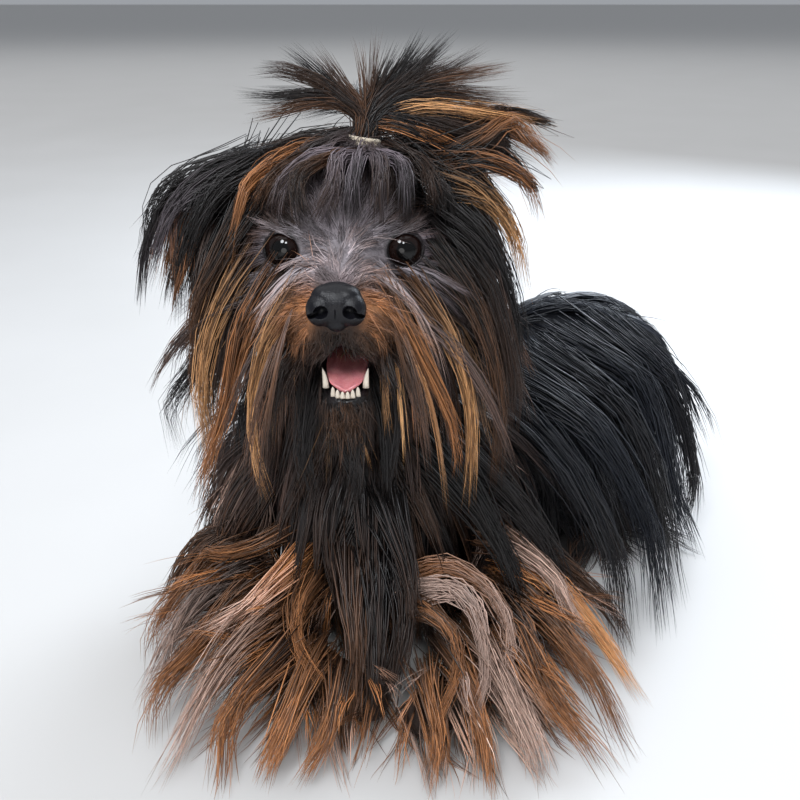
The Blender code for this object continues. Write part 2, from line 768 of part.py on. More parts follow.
def head_flesh():
    """Skull, muzzle and lower jaw, with lids, eye sockets, an open mouth and the lower teeth."""
    head = blended("head", head_pieces() + neck_pieces(), HEAD_TRIANGLES, 3)
    boolean(head, [above_neck()], "INTERSECT")
    lids = [ring(eye_centre(s) + eye_axis(s) * 5.2 * MM, eye_axis(s), 7.6 * MM, 1.5 * MM) for s in (-1, 1)]
    boolean(head, lids, "UNION")
    jaw_tilt = Matrix.Rotation(-HEAD_PITCH + JAW_DROP, 3, "X")
    level = Matrix.Rotation(-HEAD_PITCH, 3, "X")
    cuts = [ball(eye_centre(s), (EYE_RADIUS + SOCKET_ROOM,) * 3, segments=14) for s in (-1, 1)]
    cuts.append(ball(head_point(0, -16, -27), vec(7.5, 20, 6), level, 9))
    cuts.append(ball(head_point(0, -14, -37), vec(7, 19, 5.5), jaw_tilt, 9))
    cuts.append(nose_form(GAP))
    boolean(head, cuts, "DIFFERENCE")
    boolean(head, lower_teeth(), "UNION")
    return keep_largest(head)


def nose_form(fat=0.0):
    """The leather of the nose: a rounded pad with a wing on each side."""
    level = Matrix.Rotation(-HEAD_PITCH, 3, "X")
    grow = Vector((fat, fat, fat))
    front = -MUZZLE_LENGTH / MM
    pad = ball(head_point(0, front - 5, -10), vec(NOSE_WIDTH / MM / 2, 7, 7.5) + grow, level, 9)
    wings = [
        ball(head_point(side * 5.2, front - 7.5, -11), vec(4.6, 5, 5.4) + grow, level, 6)
        for side in (-1, 1)
    ]
    return boolean(pad, wings, "UNION")


def nose_node():
    level = Matrix.Rotation(-HEAD_PITCH, 3, "X")
    front = -MUZZLE_LENGTH / MM
    cuts = [
        ball(head_point(side * 4.6, front - 12.2, -11.5), vec(2.1, 5, 2.0), level, 6)
        for side in (-1, 1)
    ]
    cuts.append(block(head_point(-0.35, front - 16, -20), head_point(0.35, front - 11, -9)))
    return keep_largest(boolean(nose_form(), cuts, "DIFFERENCE"))


def tongue_node():
    """A flat tongue lying in the lower jaw, hollowed along its middle."""
    places = [(0, 0, -36), (0, -12, -38), (0, -24, -43), (0, -31, -46.5)]
    path = smooth_places([head_point(*place) for place in places], 6)
    facings = [Vector((0, -0.3, 1))] * 6
    return blade(path, facings, 7.2 * MM, 2.6 * MM, 8)


def ear_node(side):
    """An upright, V-shaped ear, cupped towards the front."""
    root, tip, facing = (Vector(row) for row in EARS[side])
    root, tip = root * MM, tip * MM
    bm = bmesh.new()
    along = tip - root
    across = along.cross(facing).normalized()
    front = across.cross(along).normalized()
    rows, columns = 6, 7
    sheets = []
    for depth in (0.0, EAR_THICKNESS):
        grid = []
        for i in range(rows):
            t = i / (rows - 1)
            half = EAR_WIDTH / 2 * (1 - t**1.7) + 0.6 * MM
            line = []
            for j in range(columns):
                s = 2 * j / (columns - 1) - 1
                cup = EAR_CUP * (1 - t) ** 0.7 * (1 - s * s)
                line.append(bm.verts.new(root + along * t + across * half * s - front * (cup + depth)))
            grid.append(line)
        sheets.append(grid)
    near, far = sheets
    for i in range(rows - 1):
        for j in range(columns - 1):
            bm.faces.new((near[i][j], near[i][j + 1], near[i + 1][j + 1], near[i + 1][j]))
            bm.faces.new((far[i][j], far[i + 1][j], far[i + 1][j + 1], far[i][j + 1]))
        for j in (0, columns - 1):
            bm.faces.new((near[i][j], near[i + 1][j], far[i + 1][j], far[i][j]))
    for j in range(columns - 1):
        for i in (0, rows - 1):
            bm.faces.new((near[i][j], far[i][j], far[i][j + 1], near[i][j + 1]))
    bmesh.ops.recalc_face_normals(bm, faces=bm.faces)
    return from_bmesh("ear", bm)


def topknot_stalk(near_head):
    """The gathered hair where it passes through the band."""
    stalk = ball(BAND_PLACE, vec(6, 6, 6), segments=10)
    groove = ring(BAND_PLACE, BAND_AXIS, BAND_RADIUS, BAND_THICKNESS + GAP, 16, 5)
    return boolean(stalk, [copy_of(near_head), groove], "DIFFERENCE")


def band_node(near_head):
    band = ring(BAND_PLACE, BAND_AXIS, BAND_RADIUS, BAND_THICKNESS, 16, 5)
    return keep_largest(boolean(band, [copy_of(near_head)], "DIFFERENCE"))


def assemble(nodes, coats, trim):
    """Each node's coat yields to the other nodes' flesh and to the coats made before it."""
    bodies = {**nodes, **trim}
    kept_clear = {name: [copy_of(body), copy_of(body, COAT_GAP)] for name, body in bodies.items()}
    locks_made = []
    for name, pairs in coats.items():
        firsts = [copy_of(lock) for lock, _ in pairs]
        coat = boolean(firsts[0], firsts[1:], "UNION")
        clear = [copy_of(form) for other, forms in kept_clear.items() if other != name for form in forms]
        clear += [copy_of(form) for form in locks_made]
        boolean(coat, clear, "DIFFERENCE")
        boolean(nodes[name], [coat], "UNION")
        locks_made += [form for pair in pairs for form in pair]
    for node in nodes.values():
        boolean(node, [block(vec(-400, -400, -100), vec(400, 400, 0))], "DIFFERENCE")
        keep_largest(node)
    for forms in kept_clear.values():
        discard(forms)
    discard(locks_made)


bpy.ops.object.select_all(action="DESELECT")
for old in list(bpy.data.objects):
    bpy.data.objects.remove(old)
dog = bpy.data.collections.new("terrier")
work = bpy.data.collections.new("work")
bpy.context.scene.collection.children.link(dog)
bpy.context.scene.collection.children.link(work)

legs = {
    "foreleg_right": (FORELEG_RIGHT, FORELEG_RADII),
    "foreleg_left": (FORELEG_LEFT, FORELEG_RADII),
    "hindleg_left": (HINDLEG_LEFT, HINDLEG_RADII),
    "hindleg_right": ([mirrored_in_rump(p) for p in HINDLEG_LEFT], HINDLEG_RADII),
}
solids = flesh_nodes()
near_head = copy_of(solids["head"], COAT_GAP)
for side in EARS:
    solids["ear_" + side] = boolean(ear_node(side), [copy_of(near_head)], "DIFFERENCE")
solids["topknot"] = topknot_stalk(near_head)
trim = {
    "eye_right": ball(eye_centre(-1), (EYE_RADIUS,) * 3, segments=12),
    "eye_left": ball(eye_centre(1), (EYE_RADIUS,) * 3, segments=12),
    "nose": nose_node(),
    "tongue": keep_largest(boolean(tongue_node(), [copy_of(near_head)], "DIFFERENCE")),
    "hair_band": band_node(near_head),
}
discard([near_head])
flesh = nearness(*solids.values(), *trim.values())
groom = {
    "head": mirrored_rows(HEAD_GROOM),
    **EAR_GROOM,
    "neck": NECK_GROOM,
    "torso": TORSO_GROOM,
    "foreleg_right": FORELEG_RIGHT_GROOM,
    "foreleg_left": FORELEG_LEFT_GROOM,
    "hindleg_left": HINDLEG_GROOM,
    "hindleg_right": rump_mirrored_rows(HINDLEG_GROOM),
    "tail": TAIL_GROOM,
}
rng = np.random.default_rng(SEED)
coat = {"topknot": topknot_locks(rng)}
for name, rows in groom.items():
    coat[name] = coat_of(name, solids, trim, rows, flesh, rng)
assemble(solids, coat, trim)

looks = {
    "eye": (EYE_BROWN, 0.08),
    "nose": (NOSE_BLACK, 0.4),
    "tongue": (TONGUE_PINK, 0.35),
    "hair": (BAND_CREAM, 0.6),
    "foreleg": (TAN_COAT, 0.6),
    "head": (GREY_TAN, 0.6),
    "topknot": (GREY_TAN, 0.6),
}
everything = {**solids, **trim}
corners = [v.co for obj in everything.values() for v in obj.data.vertices]
low = Vector([min(c[k] for c in corners) for k in range(3)])
high = Vector([max(c[k] for c in corners) for k in range(3)])
shift = Matrix.Translation(-Vector(((low.x + high.x) / 2, (low.y + high.y) / 2, low.z)))
for name, obj in everything.items():
    obj.data.transform(shift)
    finish(obj, name, *looks.get(name.split("_")[0], (BLACK_COAT, 0.6)))
bpy.data.collections.remove(work)
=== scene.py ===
"""The looks of a life-size still model of a young long-coated terrier, lying with its head up.

The dog faces -Y. Lengths are in metres, except where a name or a table says millimetres. Places are
given from a point on the floor under the eyes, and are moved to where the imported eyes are.
"""

import math

import bmesh
import bpy
import numpy as np
from mathutils import Matrix, Vector
from mathutils.bvhtree import BVHTree
from mathutils.kdtree import KDTree


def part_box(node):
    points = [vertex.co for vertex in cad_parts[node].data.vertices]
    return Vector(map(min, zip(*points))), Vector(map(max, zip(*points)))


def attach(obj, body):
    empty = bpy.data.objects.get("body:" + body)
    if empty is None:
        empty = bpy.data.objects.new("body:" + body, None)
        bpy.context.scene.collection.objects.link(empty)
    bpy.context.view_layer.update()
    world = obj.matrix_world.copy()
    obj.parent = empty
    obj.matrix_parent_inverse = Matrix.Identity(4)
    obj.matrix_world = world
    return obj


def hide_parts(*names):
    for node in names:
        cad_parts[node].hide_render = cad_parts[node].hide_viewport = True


bl_info = {
    "name": "Long-coated terrier",
    "version": (1, 0, 0),
    "blender": (4, 5, 0),
    "location": "3D View > Sidebar > Terrier",
    "description": "Skin, coat, face and stage of a lying long-coated terrier",
    "category": "Object",
}

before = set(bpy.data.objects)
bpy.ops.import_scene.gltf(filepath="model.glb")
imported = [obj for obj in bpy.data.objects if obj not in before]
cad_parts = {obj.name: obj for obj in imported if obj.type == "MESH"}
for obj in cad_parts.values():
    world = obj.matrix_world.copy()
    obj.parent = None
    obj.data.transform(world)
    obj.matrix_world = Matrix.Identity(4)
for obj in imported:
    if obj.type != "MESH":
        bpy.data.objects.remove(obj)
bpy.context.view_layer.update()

MM = 0.001
DOWN = Vector((0, 0, -1))
SEED = 11

# Head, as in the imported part: its own frame is midway between the eyes, then pitched and raised
EYE_HEIGHT = 180 * MM
HEAD_PITCH = math.radians(8)
EYE_SPACING = 43
EYE_SET_BACK = 4
EYE_TOE_OUT = math.radians(12)
MUZZLE_LENGTH = 37
NOSE_HEIGHT = -13.5  # against the eyes
JAW_DROP = math.radians(18)
MOUTH_OFFSET = 1.8  # the mouth opens a little to the left, in millimetres
BAND_PLACE_MM = (7, 25, 215)
BAND_AXIS = Vector((0.15, 0.1, 1)).normalized()
BAND_RADIUS, BAND_THREAD, BAND_OFFSET = 5.8, 0.95, 0.8  # two turns, one on each side of the place
EARS = {
    "right": ((-27, 36, 198), (-70, 22, 196), (-0.2, -1, 0.5)),
    "left": ((30, 36, 200), (62, 28, 227), (0.3, -1, 0.2)),
}
EAR_WIDTH = 32
EAR_THICKNESS = 1.7
EAR_CUP = 7
EAR_ROWS_ALONG, EAR_ROWS_ACROSS = 18, 19

# The tongue's sections from root to tip: place in the head's frame and half width, in millimetres
TONGUE = [
    (0, 0, -38.5, 6.4),
    (0, -11, -39.5, 7.6),
    (0, -22, -42.0, 7.4),
    (0, -29.5, -44.6, 6.0),
    (0, -32, -45.8, 3.4),
]
TONGUE_LOOPS, TONGUE_SIDES = 18, 20
TOOTH_LOOPS, TOOTH_SIDES = 6, 10

# Eyes, in millimetres: room round the eyeball, the plane of the lids before its centre, the lids' ring
# and the hollow between them, and how far the clear front stands out
EYE_ROOM = 0.12
LID_PLANE = 6.6
LID_RADIUS, LID_THICKNESS = 6.75, 0.65
LID_MOUND = 1.4
LID_HOLLOW_PLACE, LID_HOLLOW_RADII = 11.2, (7.9, 7.1, 7.2)
LID_BARE, LID_BLEND = 8.0, 0.8
CLEAR_FRONT, CLEAR_FRONT_REACH = 0.6, 0.75

# Where no hair grows and none may hang, in millimetres: middle and half width across, then furthest
# back, lowest and highest
MOUTH_BARE = (1.5, 9, 4, 136, 155)
NOSE_BARE = (0, 8, -40, 164, 179)
MOUTH_VIEW = (2, 9, -24, 136, 150.5)
NOSE_VIEW = (0, 9.8, -43, 162, 180)
EYE_BARE = 9.6
EYE_VIEW_PLACE, EYE_VIEW = 8, 6.4

# The torso's sections along the spine: centre, half width, half height, in millimetres
SPINE = [
    (6, 4, 64, 28, 34),
    (8, 38, 56, 42, 57),
    (26, 72, 55, 43, 58),
    (60, 100, 56, 39, 54),
    (98, 124, 59, 40, 59),
    (130, 144, 58, 37, 55),
    (152, 156, 64, 22, 32),
]
SPINE_STEPS = 31
RUMP_CENTRE = Vector((118, 138, 58))
RUMP_YAW = math.radians(60)
RUMP_LEFT = Vector((math.cos(RUMP_YAW), -math.sin(RUMP_YAW), 0))
FORELEG_RIGHT = [(-34, 40, 78), (-56, 26, 30), (-42, 0, 21), (-26, -26, 17), (-8, -44, 11), (8, -52, 9)]
FORELEG_LEFT = [(48, 46, 78), (70, 30, 30), (66, 0, 21), (59, -30, 17), (46, -50, 11), (31, -60, 9)]
FORELEG_RADII = [20, 14, 11.5, 10.5, 11.5, 10]
HINDLEG_LEFT = [(135, 116, 76), (100, 80, 48), (128, 84, 26), (152, 90, 14), (128, 70, 10), (100, 48, 8.5)]
HINDLEG_RADII = [26, 17, 12, 9.5, 9, 9.5]
TAIL = [(158, 162, 84), (172, 172, 70), (184, 184, 44), (192, 200, 20), (194, 216, 9)]
TAIL_RADII = [10, 8.5, 7.5, 6.5, 5]
INSET = 0.8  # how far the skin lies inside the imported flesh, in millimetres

# Colours of the coat, as the base colour of dry hair; mauve and rose grey also carry painted highlight
BLUE_BLACK = (0.006, 0.008, 0.014)
BLACK = (0.010, 0.008, 0.008)
DARK_BROWN = (0.034, 0.018, 0.012)
BROWN = (0.10, 0.046, 0.022)
TAN = (0.40, 0.165, 0.06)
GOLD = (0.60, 0.31, 0.13)
SILVER = (0.30, 0.27, 0.29)
LAVENDER = (0.13, 0.108, 0.122)
# Lighter lavender grey: the fringe's own colour with painted highlight in it
MAUVE_AND_HIGHLIGHT = (0.24, 0.20, 0.225)
# Pale rose grey: the colour of pale hairs, and on the forelegs painted highlight on the tan locks
ROSE_GREY_AND_HIGHLIGHT = (0.55, 0.38, 0.31)

# How the coat lies and what colour it is: part, place in millimetres, way combed, length in
# millimetres, droop, colour at the root and at the tip. The rows of fuzz and face are mirrored to the
# dog's right, and those of the hindleg in the hips.
COAT_ROWS = [
    ("fuzz", (5, -38, 182), (0.5, 0.75, 0.3), 7, 0.0, LAVENDER, SILVER),
    ("fuzz", (12, -38, 174), (0.85, 0.4, -0.2), 10, 0.2, TAN, TAN),
    # dark fuzz under the nose: partly its own colour, partly painted shade
    ("fuzz", (3, -42, 162), (0.25, -0.25, -0.9), 7, 0.2, DARK_BROWN, BLACK),
    ("fuzz", (12, -37, 166), (0.7, 0.1, -0.7), 11, 0.4, TAN, BROWN),
    # dark fuzz at the corners of the mouth: partly its own colour, partly painted shade
    ("fuzz", (11, -36, 156), (0.5, -0.1, -0.85), 10, 0.4, DARK_BROWN, BLACK),
    ("fuzz", (4, -26, 185), (0.6, 0.7, 0.1), 9, 0.0, SILVER, SILVER),
    ("fuzz", (10, -26, 180), (0.85, 0.4, -0.2), 12, 0.2, SILVER, TAN),
    ("fuzz", (3, -10, 188), (0.4, 0.6, 0.6), 9, 0.0, SILVER, LAVENDER),
    ("fuzz", (12, -8, 184), (0.9, 0.2, 0.2), 9, 0.1, SILVER, SILVER),
    ("fuzz", (22, -7, 173), (0.8, 0.2, -0.5), 12, 0.3, SILVER, LAVENDER),
    ("fuzz", (32, -2, 180), (0.7, 0.6, -0.3), 12, 0.3, LAVENDER, BROWN),
    ("fuzz", (20, -1, 192), (0.3, 0.6, 0.6), 8, 0.0, DARK_BROWN, DARK_BROWN),
    ("fuzz", (6, -2, 200), (0.2, 0.7, 0.7), 8, 0.0, DARK_BROWN, LAVENDER),
    # dark fuzz of the chin: partly its own colour, partly painted shade under the mouth
    ("fuzz", (2, -40, 133), (0.15, -0.6, -0.75), 9, 0.5, BLACK, BROWN),
    ("fuzz", (9, -34, 138), (0.6, -0.3, -0.7), 10, 0.5, BLACK, DARK_BROWN),
    # long dark hair beside the mouth: partly its own colour, partly painted shade
    ("face", (13, -28, 158), (0.7, -0.2, -0.7), 46, 0.8, DARK_BROWN, BLACK),
    ("face", (15, -22, 170), (0.75, -0.35, -0.5), 92, 1.0, TAN, DARK_BROWN),
    ("face", (18, -4, 168), (0.75, -0.35, -0.5), 104, 1.0, DARK_BROWN, BLACK),
    ("face", (9, -20, 181), (0.85, -0.15, -0.1), 66, 1.0, SILVER, ROSE_GREY_AND_HIGHLIGHT),
    ("face", (16, -12, 174), (0.85, -0.2, -0.3), 88, 1.0, LAVENDER, TAN),
    ("face", (6, 4, 199), (0, 0.75, 0.65), 26, 0.0, LAVENDER, DARK_BROWN),
    ("face", (20, 6, 201), (0.1, 0.7, 0.7), 24, 0.0, DARK_BROWN, BLACK),
    ("face", (33, 10, 198), (0.9, 0.0, -0.3), 60, 0.9, DARK_BROWN, BLACK),
    ("face", (36, 22, 192), (0.9, -0.1, -0.3), 72, 0.9, BLACK, BROWN),
    ("face", (37, 16, 172), (0.85, -0.25, -0.4), 92, 0.9, BLACK, DARK_BROWN),
    ("face", (30, 2, 168), (0.8, -0.3, -0.5), 96, 0.9, DARK_BROWN, BROWN),
    ("face", (30, 30, 150), (0.6, -0.2, -0.75), 62, 0.6, BLACK, BROWN),
    ("face", (12, 58, 214), (0.3, 0.8, -0.5), 54, 0.8, BLACK, DARK_BROWN),
    ("face", (24, 66, 185), (0.5, 0.5, -0.7), 60, 0.8, BLACK, BLUE_BLACK),
    # dark beard under the chin: partly its own colour, partly painted shade
    ("face", (4, -34, 127), (0.15, -0.5, -0.85), 18, 0.6, BLACK, BROWN),
    ("face", (9, -22, 130), (0.3, -0.4, -0.85), 36, 0.6, BLACK, BLACK),
    ("face", (8, -5, 138), (0.2, -0.4, -0.9), 46, 0.6, BLACK, DARK_BROWN),
    ("body", (40, 66, 108), (0.75, -0.3, -0.5), 90, 0.8, BLACK, BLUE_BLACK),
    ("body", (80, 92, 112), (0.6, -0.6, -0.4), 112, 0.8, BLUE_BLACK, BLUE_BLACK),
    ("body", (118, 116, 116), (0.65, -0.5, -0.35), 108, 0.8, BLUE_BLACK, BLUE_BLACK),
    ("body", (78, 64, 60), (0.55, -0.6, -0.5), 96, 0.8, BLUE_BLACK, BLACK),
    ("chest", (6, -18, 80), (0.1, -0.5, -0.85), 62, 0.6, BLACK, DARK_BROWN),
    ("chest", (32, -6, 70), (0.6, -0.4, -0.7), 62, 0.6, BLACK, BLACK),
    ("chest", (-28, 0, 70), (-0.6, -0.4, -0.7), 62, 0.6, BLACK, DARK_BROWN),
    ("chest", (-25, 50, 90), (-0.8, 0.1, -0.6), 76, 0.8, BLACK, BLUE_BLACK),
    ("body", (12, 62, 114), (0.1, 0.95, -0.2), 52, 0.6, BLACK, BLUE_BLACK),
    ("body", (30, 80, 114), (0.65, 0.7, -0.2), 56, 0.6, BLUE_BLACK, BLUE_BLACK),
    ("body", (62, 102, 110), (0.8, 0.5, -0.2), 58, 0.6, BLUE_BLACK, BLUE_BLACK),
    ("body", (98, 124, 118), (0.8, 0.55, -0.2), 58, 0.6, BLUE_BLACK, BLUE_BLACK),
    ("body", (130, 145, 113), (0.75, 0.6, -0.3), 56, 0.7, BLUE_BLACK, BLUE_BLACK),
    ("body", (14, 96, 106), (-0.65, 0.45, -0.6), 86, 0.8, BLACK, BLUE_BLACK),
    ("body", (60, 130, 110), (-0.45, 0.65, -0.6), 90, 0.8, BLUE_BLACK, BLUE_BLACK),
    ("body", (100, 154, 108), (-0.35, 0.7, -0.6), 86, 0.8, BLUE_BLACK, BLUE_BLACK),
    ("body", (50, 140, 50), (-0.4, 0.6, -0.7), 60, 0.8, BLUE_BLACK, BLACK),
    ("body", (156, 162, 74), (0.7, 0.5, -0.6), 50, 0.8, BLUE_BLACK, BLACK),
    ("chest", (-34, 34, 136), (-0.6, -0.2, -0.8), 64, 0.8, BLACK, DARK_BROWN),
    ("chest", (38, 34, 136), (0.6, -0.2, -0.8), 64, 0.8, BLACK, BLACK),
    ("chest", (4, 70, 140), (0.2, 0.75, -0.6), 56, 0.8, BLACK, BLUE_BLACK),
    ("chest", (4, 4, 124), (0, -0.5, -0.85), 54, 0.6, BLACK, BLACK),
    ("foreleg", (-52, 26, 52), (-0.5, -0.1, -0.85), 36, 0.6, BLACK, BROWN),
    ("foreleg", (-64, 22, 26), (-0.8, 0.1, -0.5), 38, 0.6, BROWN, TAN),
    ("foreleg", (-46, 0, 26), (-0.85, -0.5, 0.05), 56, 0.3, DARK_BROWN, TAN),
    ("foreleg", (-26, -30, 22), (-0.7, -0.7, 0.1), 54, 0.3, BROWN, TAN),
    ("foreleg", (-8, -44, 20), (-0.4, -0.9, 0.1), 44, 0.3, BROWN, TAN),
    ("foreleg", (4, -56, 12), (-0.05, -0.95, -0.1), 34, 0.4, DARK_BROWN, TAN),
    ("foreleg", (66, 28, 52), (0.5, -0.2, -0.8), 38, 0.6, BLACK, DARK_BROWN),
    ("foreleg", (78, 28, 28), (0.85, -0.3, -0.4), 50, 0.6, BLACK, BROWN),
    ("foreleg", (70, -2, 26), (0.85, -0.5, 0.05), 58, 0.3, DARK_BROWN, TAN),
    ("foreleg", (60, -32, 22), (0.7, -0.7, 0.1), 56, 0.3, BROWN, TAN),
    # rose grey at the tip: painted highlight on the tan hair
    ("foreleg", (50, -46, 22), (0.45, -0.85, 0.1), 48, 0.3, BROWN, ROSE_GREY_AND_HIGHLIGHT),
    ("foreleg", (34, -64, 13), (0.2, -0.95, -0.1), 34, 0.4, DARK_BROWN, TAN),
    ("hindleg", (120, 96, 74), (0.5, -0.5, -0.7), 60, 0.8, BLUE_BLACK, BLUE_BLACK),
    ("hindleg", (100, 78, 50), (0.3, -0.75, -0.6), 52, 0.8, BLUE_BLACK, BLACK),
    ("hindleg", (150, 84, 20), (0.7, -0.5, -0.4), 40, 0.6, BLACK, BLACK),
    ("hindleg", (106, 52, 12), (-0.3, -0.9, -0.2), 26, 0.4, BLACK, BROWN),
    ("tail", (150, 160, 92), (0.6, 0.5, -0.5), 54, 0.8, BLUE_BLACK, BLUE_BLACK),
    ("tail", (184, 184, 50), (0.3, 0.4, -0.9), 44, 0.8, BLUE_BLACK, BLACK),
    ("tail", (193, 206, 16), (0.3, 0.9, -0.2), 18, 0.4, BLACK, DARK_BROWN),
]
EAR_ROWS = [
    ("ear", (-34, 34, 206), (-0.85, -0.25, -0.1), 46, 0.8, BLACK, LAVENDER),
    ("ear", (-52, 26, 204), (-0.75, -0.3, -0.5), 50, 0.9, BLACK, BLACK),
    ("ear", (-68, 22, 197), (-0.4, -0.3, -0.85), 48, 0.9, LAVENDER, BLACK),
    ("ear", (-50, 26, 186), (-0.35, -0.3, -0.9), 52, 0.9, BLACK, DARK_BROWN),
    ("ear", (-32, 30, 188), (-0.25, -0.3, -0.9), 50, 0.9, BROWN, TAN),
    ("ear", (62, 28, 230), (0.75, -0.2, 0.2), 26, 0.6, BLACK, BROWN),
    ("ear", (44, 34, 212), (0.8, -0.3, 0.0), 36, 0.8, BLACK, BLACK),
    ("ear", (62, 28, 206), (0.85, -0.2, -0.2), 36, 0.9, BLACK, BROWN),
    ("ear", (40, 32, 196), (0.7, -0.3, -0.6), 50, 0.9, BLACK, BROWN),
]

# Locks laid one by one: the places in millimetres that a lock runs through, how many strands, how far
# these spread at the root and at the tip, and the colours there
FACE_LOCKS = [
    # fringe of the forelock, which hangs from the band to above the eyes; its mauve roots carry painted
    # highlight
    ([(2, 20, 210), (-10, 6, 212), (-20, -3, 206), (-25, -6, 193)], 130, 2.2, 4.0, MAUVE_AND_HIGHLIGHT, DARK_BROWN),
    ([(3, 19, 210), (-6, 2, 213), (-13, -8, 206), (-16, -11, 192)], 130, 2.2, 4.0, BROWN, BLACK),
    ([(5, 18, 210), (0, 0, 213), (-4, -11, 206), (-6, -14, 192)], 130, 2.2, 4.0, MAUVE_AND_HIGHLIGHT, DARK_BROWN),
    ([(7, 18, 210), (6, -1, 213), (5, -12, 206), (4, -15, 192)], 130, 2.2, 4.0, MAUVE_AND_HIGHLIGHT, BLACK),
    ([(9, 18, 210), (13, 0, 213), (14, -10, 206), (14, -13, 192)], 130, 2.2, 4.0, LAVENDER, DARK_BROWN),
    ([(11, 20, 210), (20, 5, 212), (23, -4, 206), (23, -8, 193)], 130, 2.2, 4.0, MAUVE_AND_HIGHLIGHT, BLACK),
    ([(0, 24, 210), (-16, 15, 211), (-26, 6, 205), (-32, 1, 192)], 110, 2.2, 4.0, DARK_BROWN, BROWN),
    ([(13, 24, 210), (27, 15, 211), (32, 7, 205), (34, 2, 193)], 110, 2.2, 4.0, BLACK, DARK_BROWN),
    # hair of the crown that runs to the ears
    ([(12, 28, 212), (26, 28, 215), (40, 27, 213), (54, 25, 203)], 110, 5, 5, DARK_BROWN, BLACK),
    ([(14, 30, 209), (28, 26, 209), (42, 20, 202), (54, 14, 184)], 110, 5, 5, BLACK, BROWN),
    ([(2, 30, 212), (-14, 30, 214), (-28, 30, 212), (-44, 24, 204)], 110, 5, 5, BLACK, DARK_BROWN),
    ([(0, 32, 209), (-16, 26, 211), (-30, 20, 206), (-40, 12, 190)], 100, 5, 5, DARK_BROWN, TAN),
    ([(16, 26, 211), (30, 20, 207), (39, 12, 197), (43, 6, 182)], 110, 5, 5, BLACK, BLACK),
    ([(15, 25, 211), (26, 16, 209), (34, 9, 202), (38, 4, 190)], 100, 4, 5, DARK_BROWN, BLACK),
    # dark hair of the cheeks, behind the curtains
    ([(26, 42, 210), (40, 38, 200), (48, 36, 180), (50, 34, 150)], 150, 8, 9, BLACK, BLACK),
    ([(30, 36, 196), (46, 30, 180), (56, 26, 156), (58, 22, 124)], 150, 8, 9, BLACK, BLACK),
    ([(-26, 42, 208), (-40, 38, 194), (-46, 34, 166), (-46, 30, 130)], 150, 8, 9, BLACK, BLACK),
    ([(-22, 6, 150), (-32, -4, 134), (-38, -8, 116), (-38, -8, 96)], 120, 7, 8, BLACK, BLACK),
    # curtain from the folded ear and the temple, to the right of the head
    ([(-30, 30, 207), (-52, 20, 202), (-70, 14, 187), (-79, 12, 160)], 90, 6, 4, BLACK, LAVENDER),
    ([(-32, 26, 206), (-50, 16, 197), (-62, 11, 177), (-69, 11, 143)], 110, 6, 5, BLACK, BLACK),
    ([(-34, 30, 206), (-60, 22, 202), (-76, 18, 188), (-82, 14, 170)], 80, 6, 4, BLACK, BLACK),
    ([(-29, 20, 206), (-37, 8, 200), (-41, 4, 184), (-43, 0, 162)], 60, 3, 3, TAN, BROWN),
    ([(-33, 16, 196), (-47, 3, 178), (-56, -6, 152), (-60, -10, 118)], 110, 5, 4, BLACK, BROWN),
    ([(-34, 20, 188), (-54, 6, 162), (-63, -2, 130), (-64, -4, 92)], 120, 6, 5, BLACK, BLACK),
    ([(-30, 8, 184), (-47, -5, 160), (-56, -13, 124), (-59, -15, 84)], 100, 5, 4, DARK_BROWN, GOLD),
    ([(-36, 14, 182), (-47, 2, 152), (-52, -4, 124), (-52, -6, 94)], 100, 6, 5, BLACK, DARK_BROWN),
    ([(-22, -4, 174), (-37, -18, 154), (-49, -22, 118), (-55, -22, 80)], 100, 5, 4, DARK_BROWN, TAN),
    ([(-14, -22, 172), (-27, -30, 152), (-36, -28, 120), (-29, -26, 84)], 80, 4, 3, BROWN, GOLD),
    # curtain from the raised ear and the temple, to the left of the head
    ([(34, 20, 200), (52, 14, 197), (66, 12, 180), (72, 14, 156)], 100, 6, 4, BLACK, GOLD),
    ([(36, 24, 206), (54, 20, 209), (70, 20, 201), (77, 22, 183)], 90, 6, 4, BLACK, TAN),
    ([(36, 26, 208), (52, 24, 218), (64, 25, 222), (76, 26, 212)], 80, 5, 4, BLACK, TAN),
    ([(34, 18, 194), (54, 6, 180), (66, 2, 152), (69, 0, 116)], 130, 6, 5, BLACK, BLACK),
    ([(34, 14, 186), (55, 0, 166), (66, -5, 134), (66, -7, 94)], 130, 6, 5, BLACK, DARK_BROWN),
    ([(30, 6, 182), (50, -8, 158), (60, -12, 124), (60, -14, 78)], 110, 5, 4, BLACK, BROWN),
    ([(25, -6, 168), (40, -18, 150), (48, -24, 122), (48, -25, 82)], 90, 4, 3, BROWN, GOLD),
    ([(14, -22, 172), (27, -30, 152), (38, -28, 126), (44, -26, 94)], 80, 4, 3, BROWN, TAN),
    # dark beard under the chin: partly its own colour, partly painted shade
    ([(12, -18, 140), (16, -26, 122), (17, -28, 104), (14, -28, 84)], 100, 5, 4, BLACK, BLACK),
    ([(-10, -18, 140), (-14, -26, 122), (-15, -28, 104), (-12, -28, 84)], 100, 5, 4, BLACK, BLACK),
    ([(1, -24, 130), (2, -32, 116), (3, -32, 102), (3, -30, 86)], 80, 5, 4, BLACK, BLACK),
]
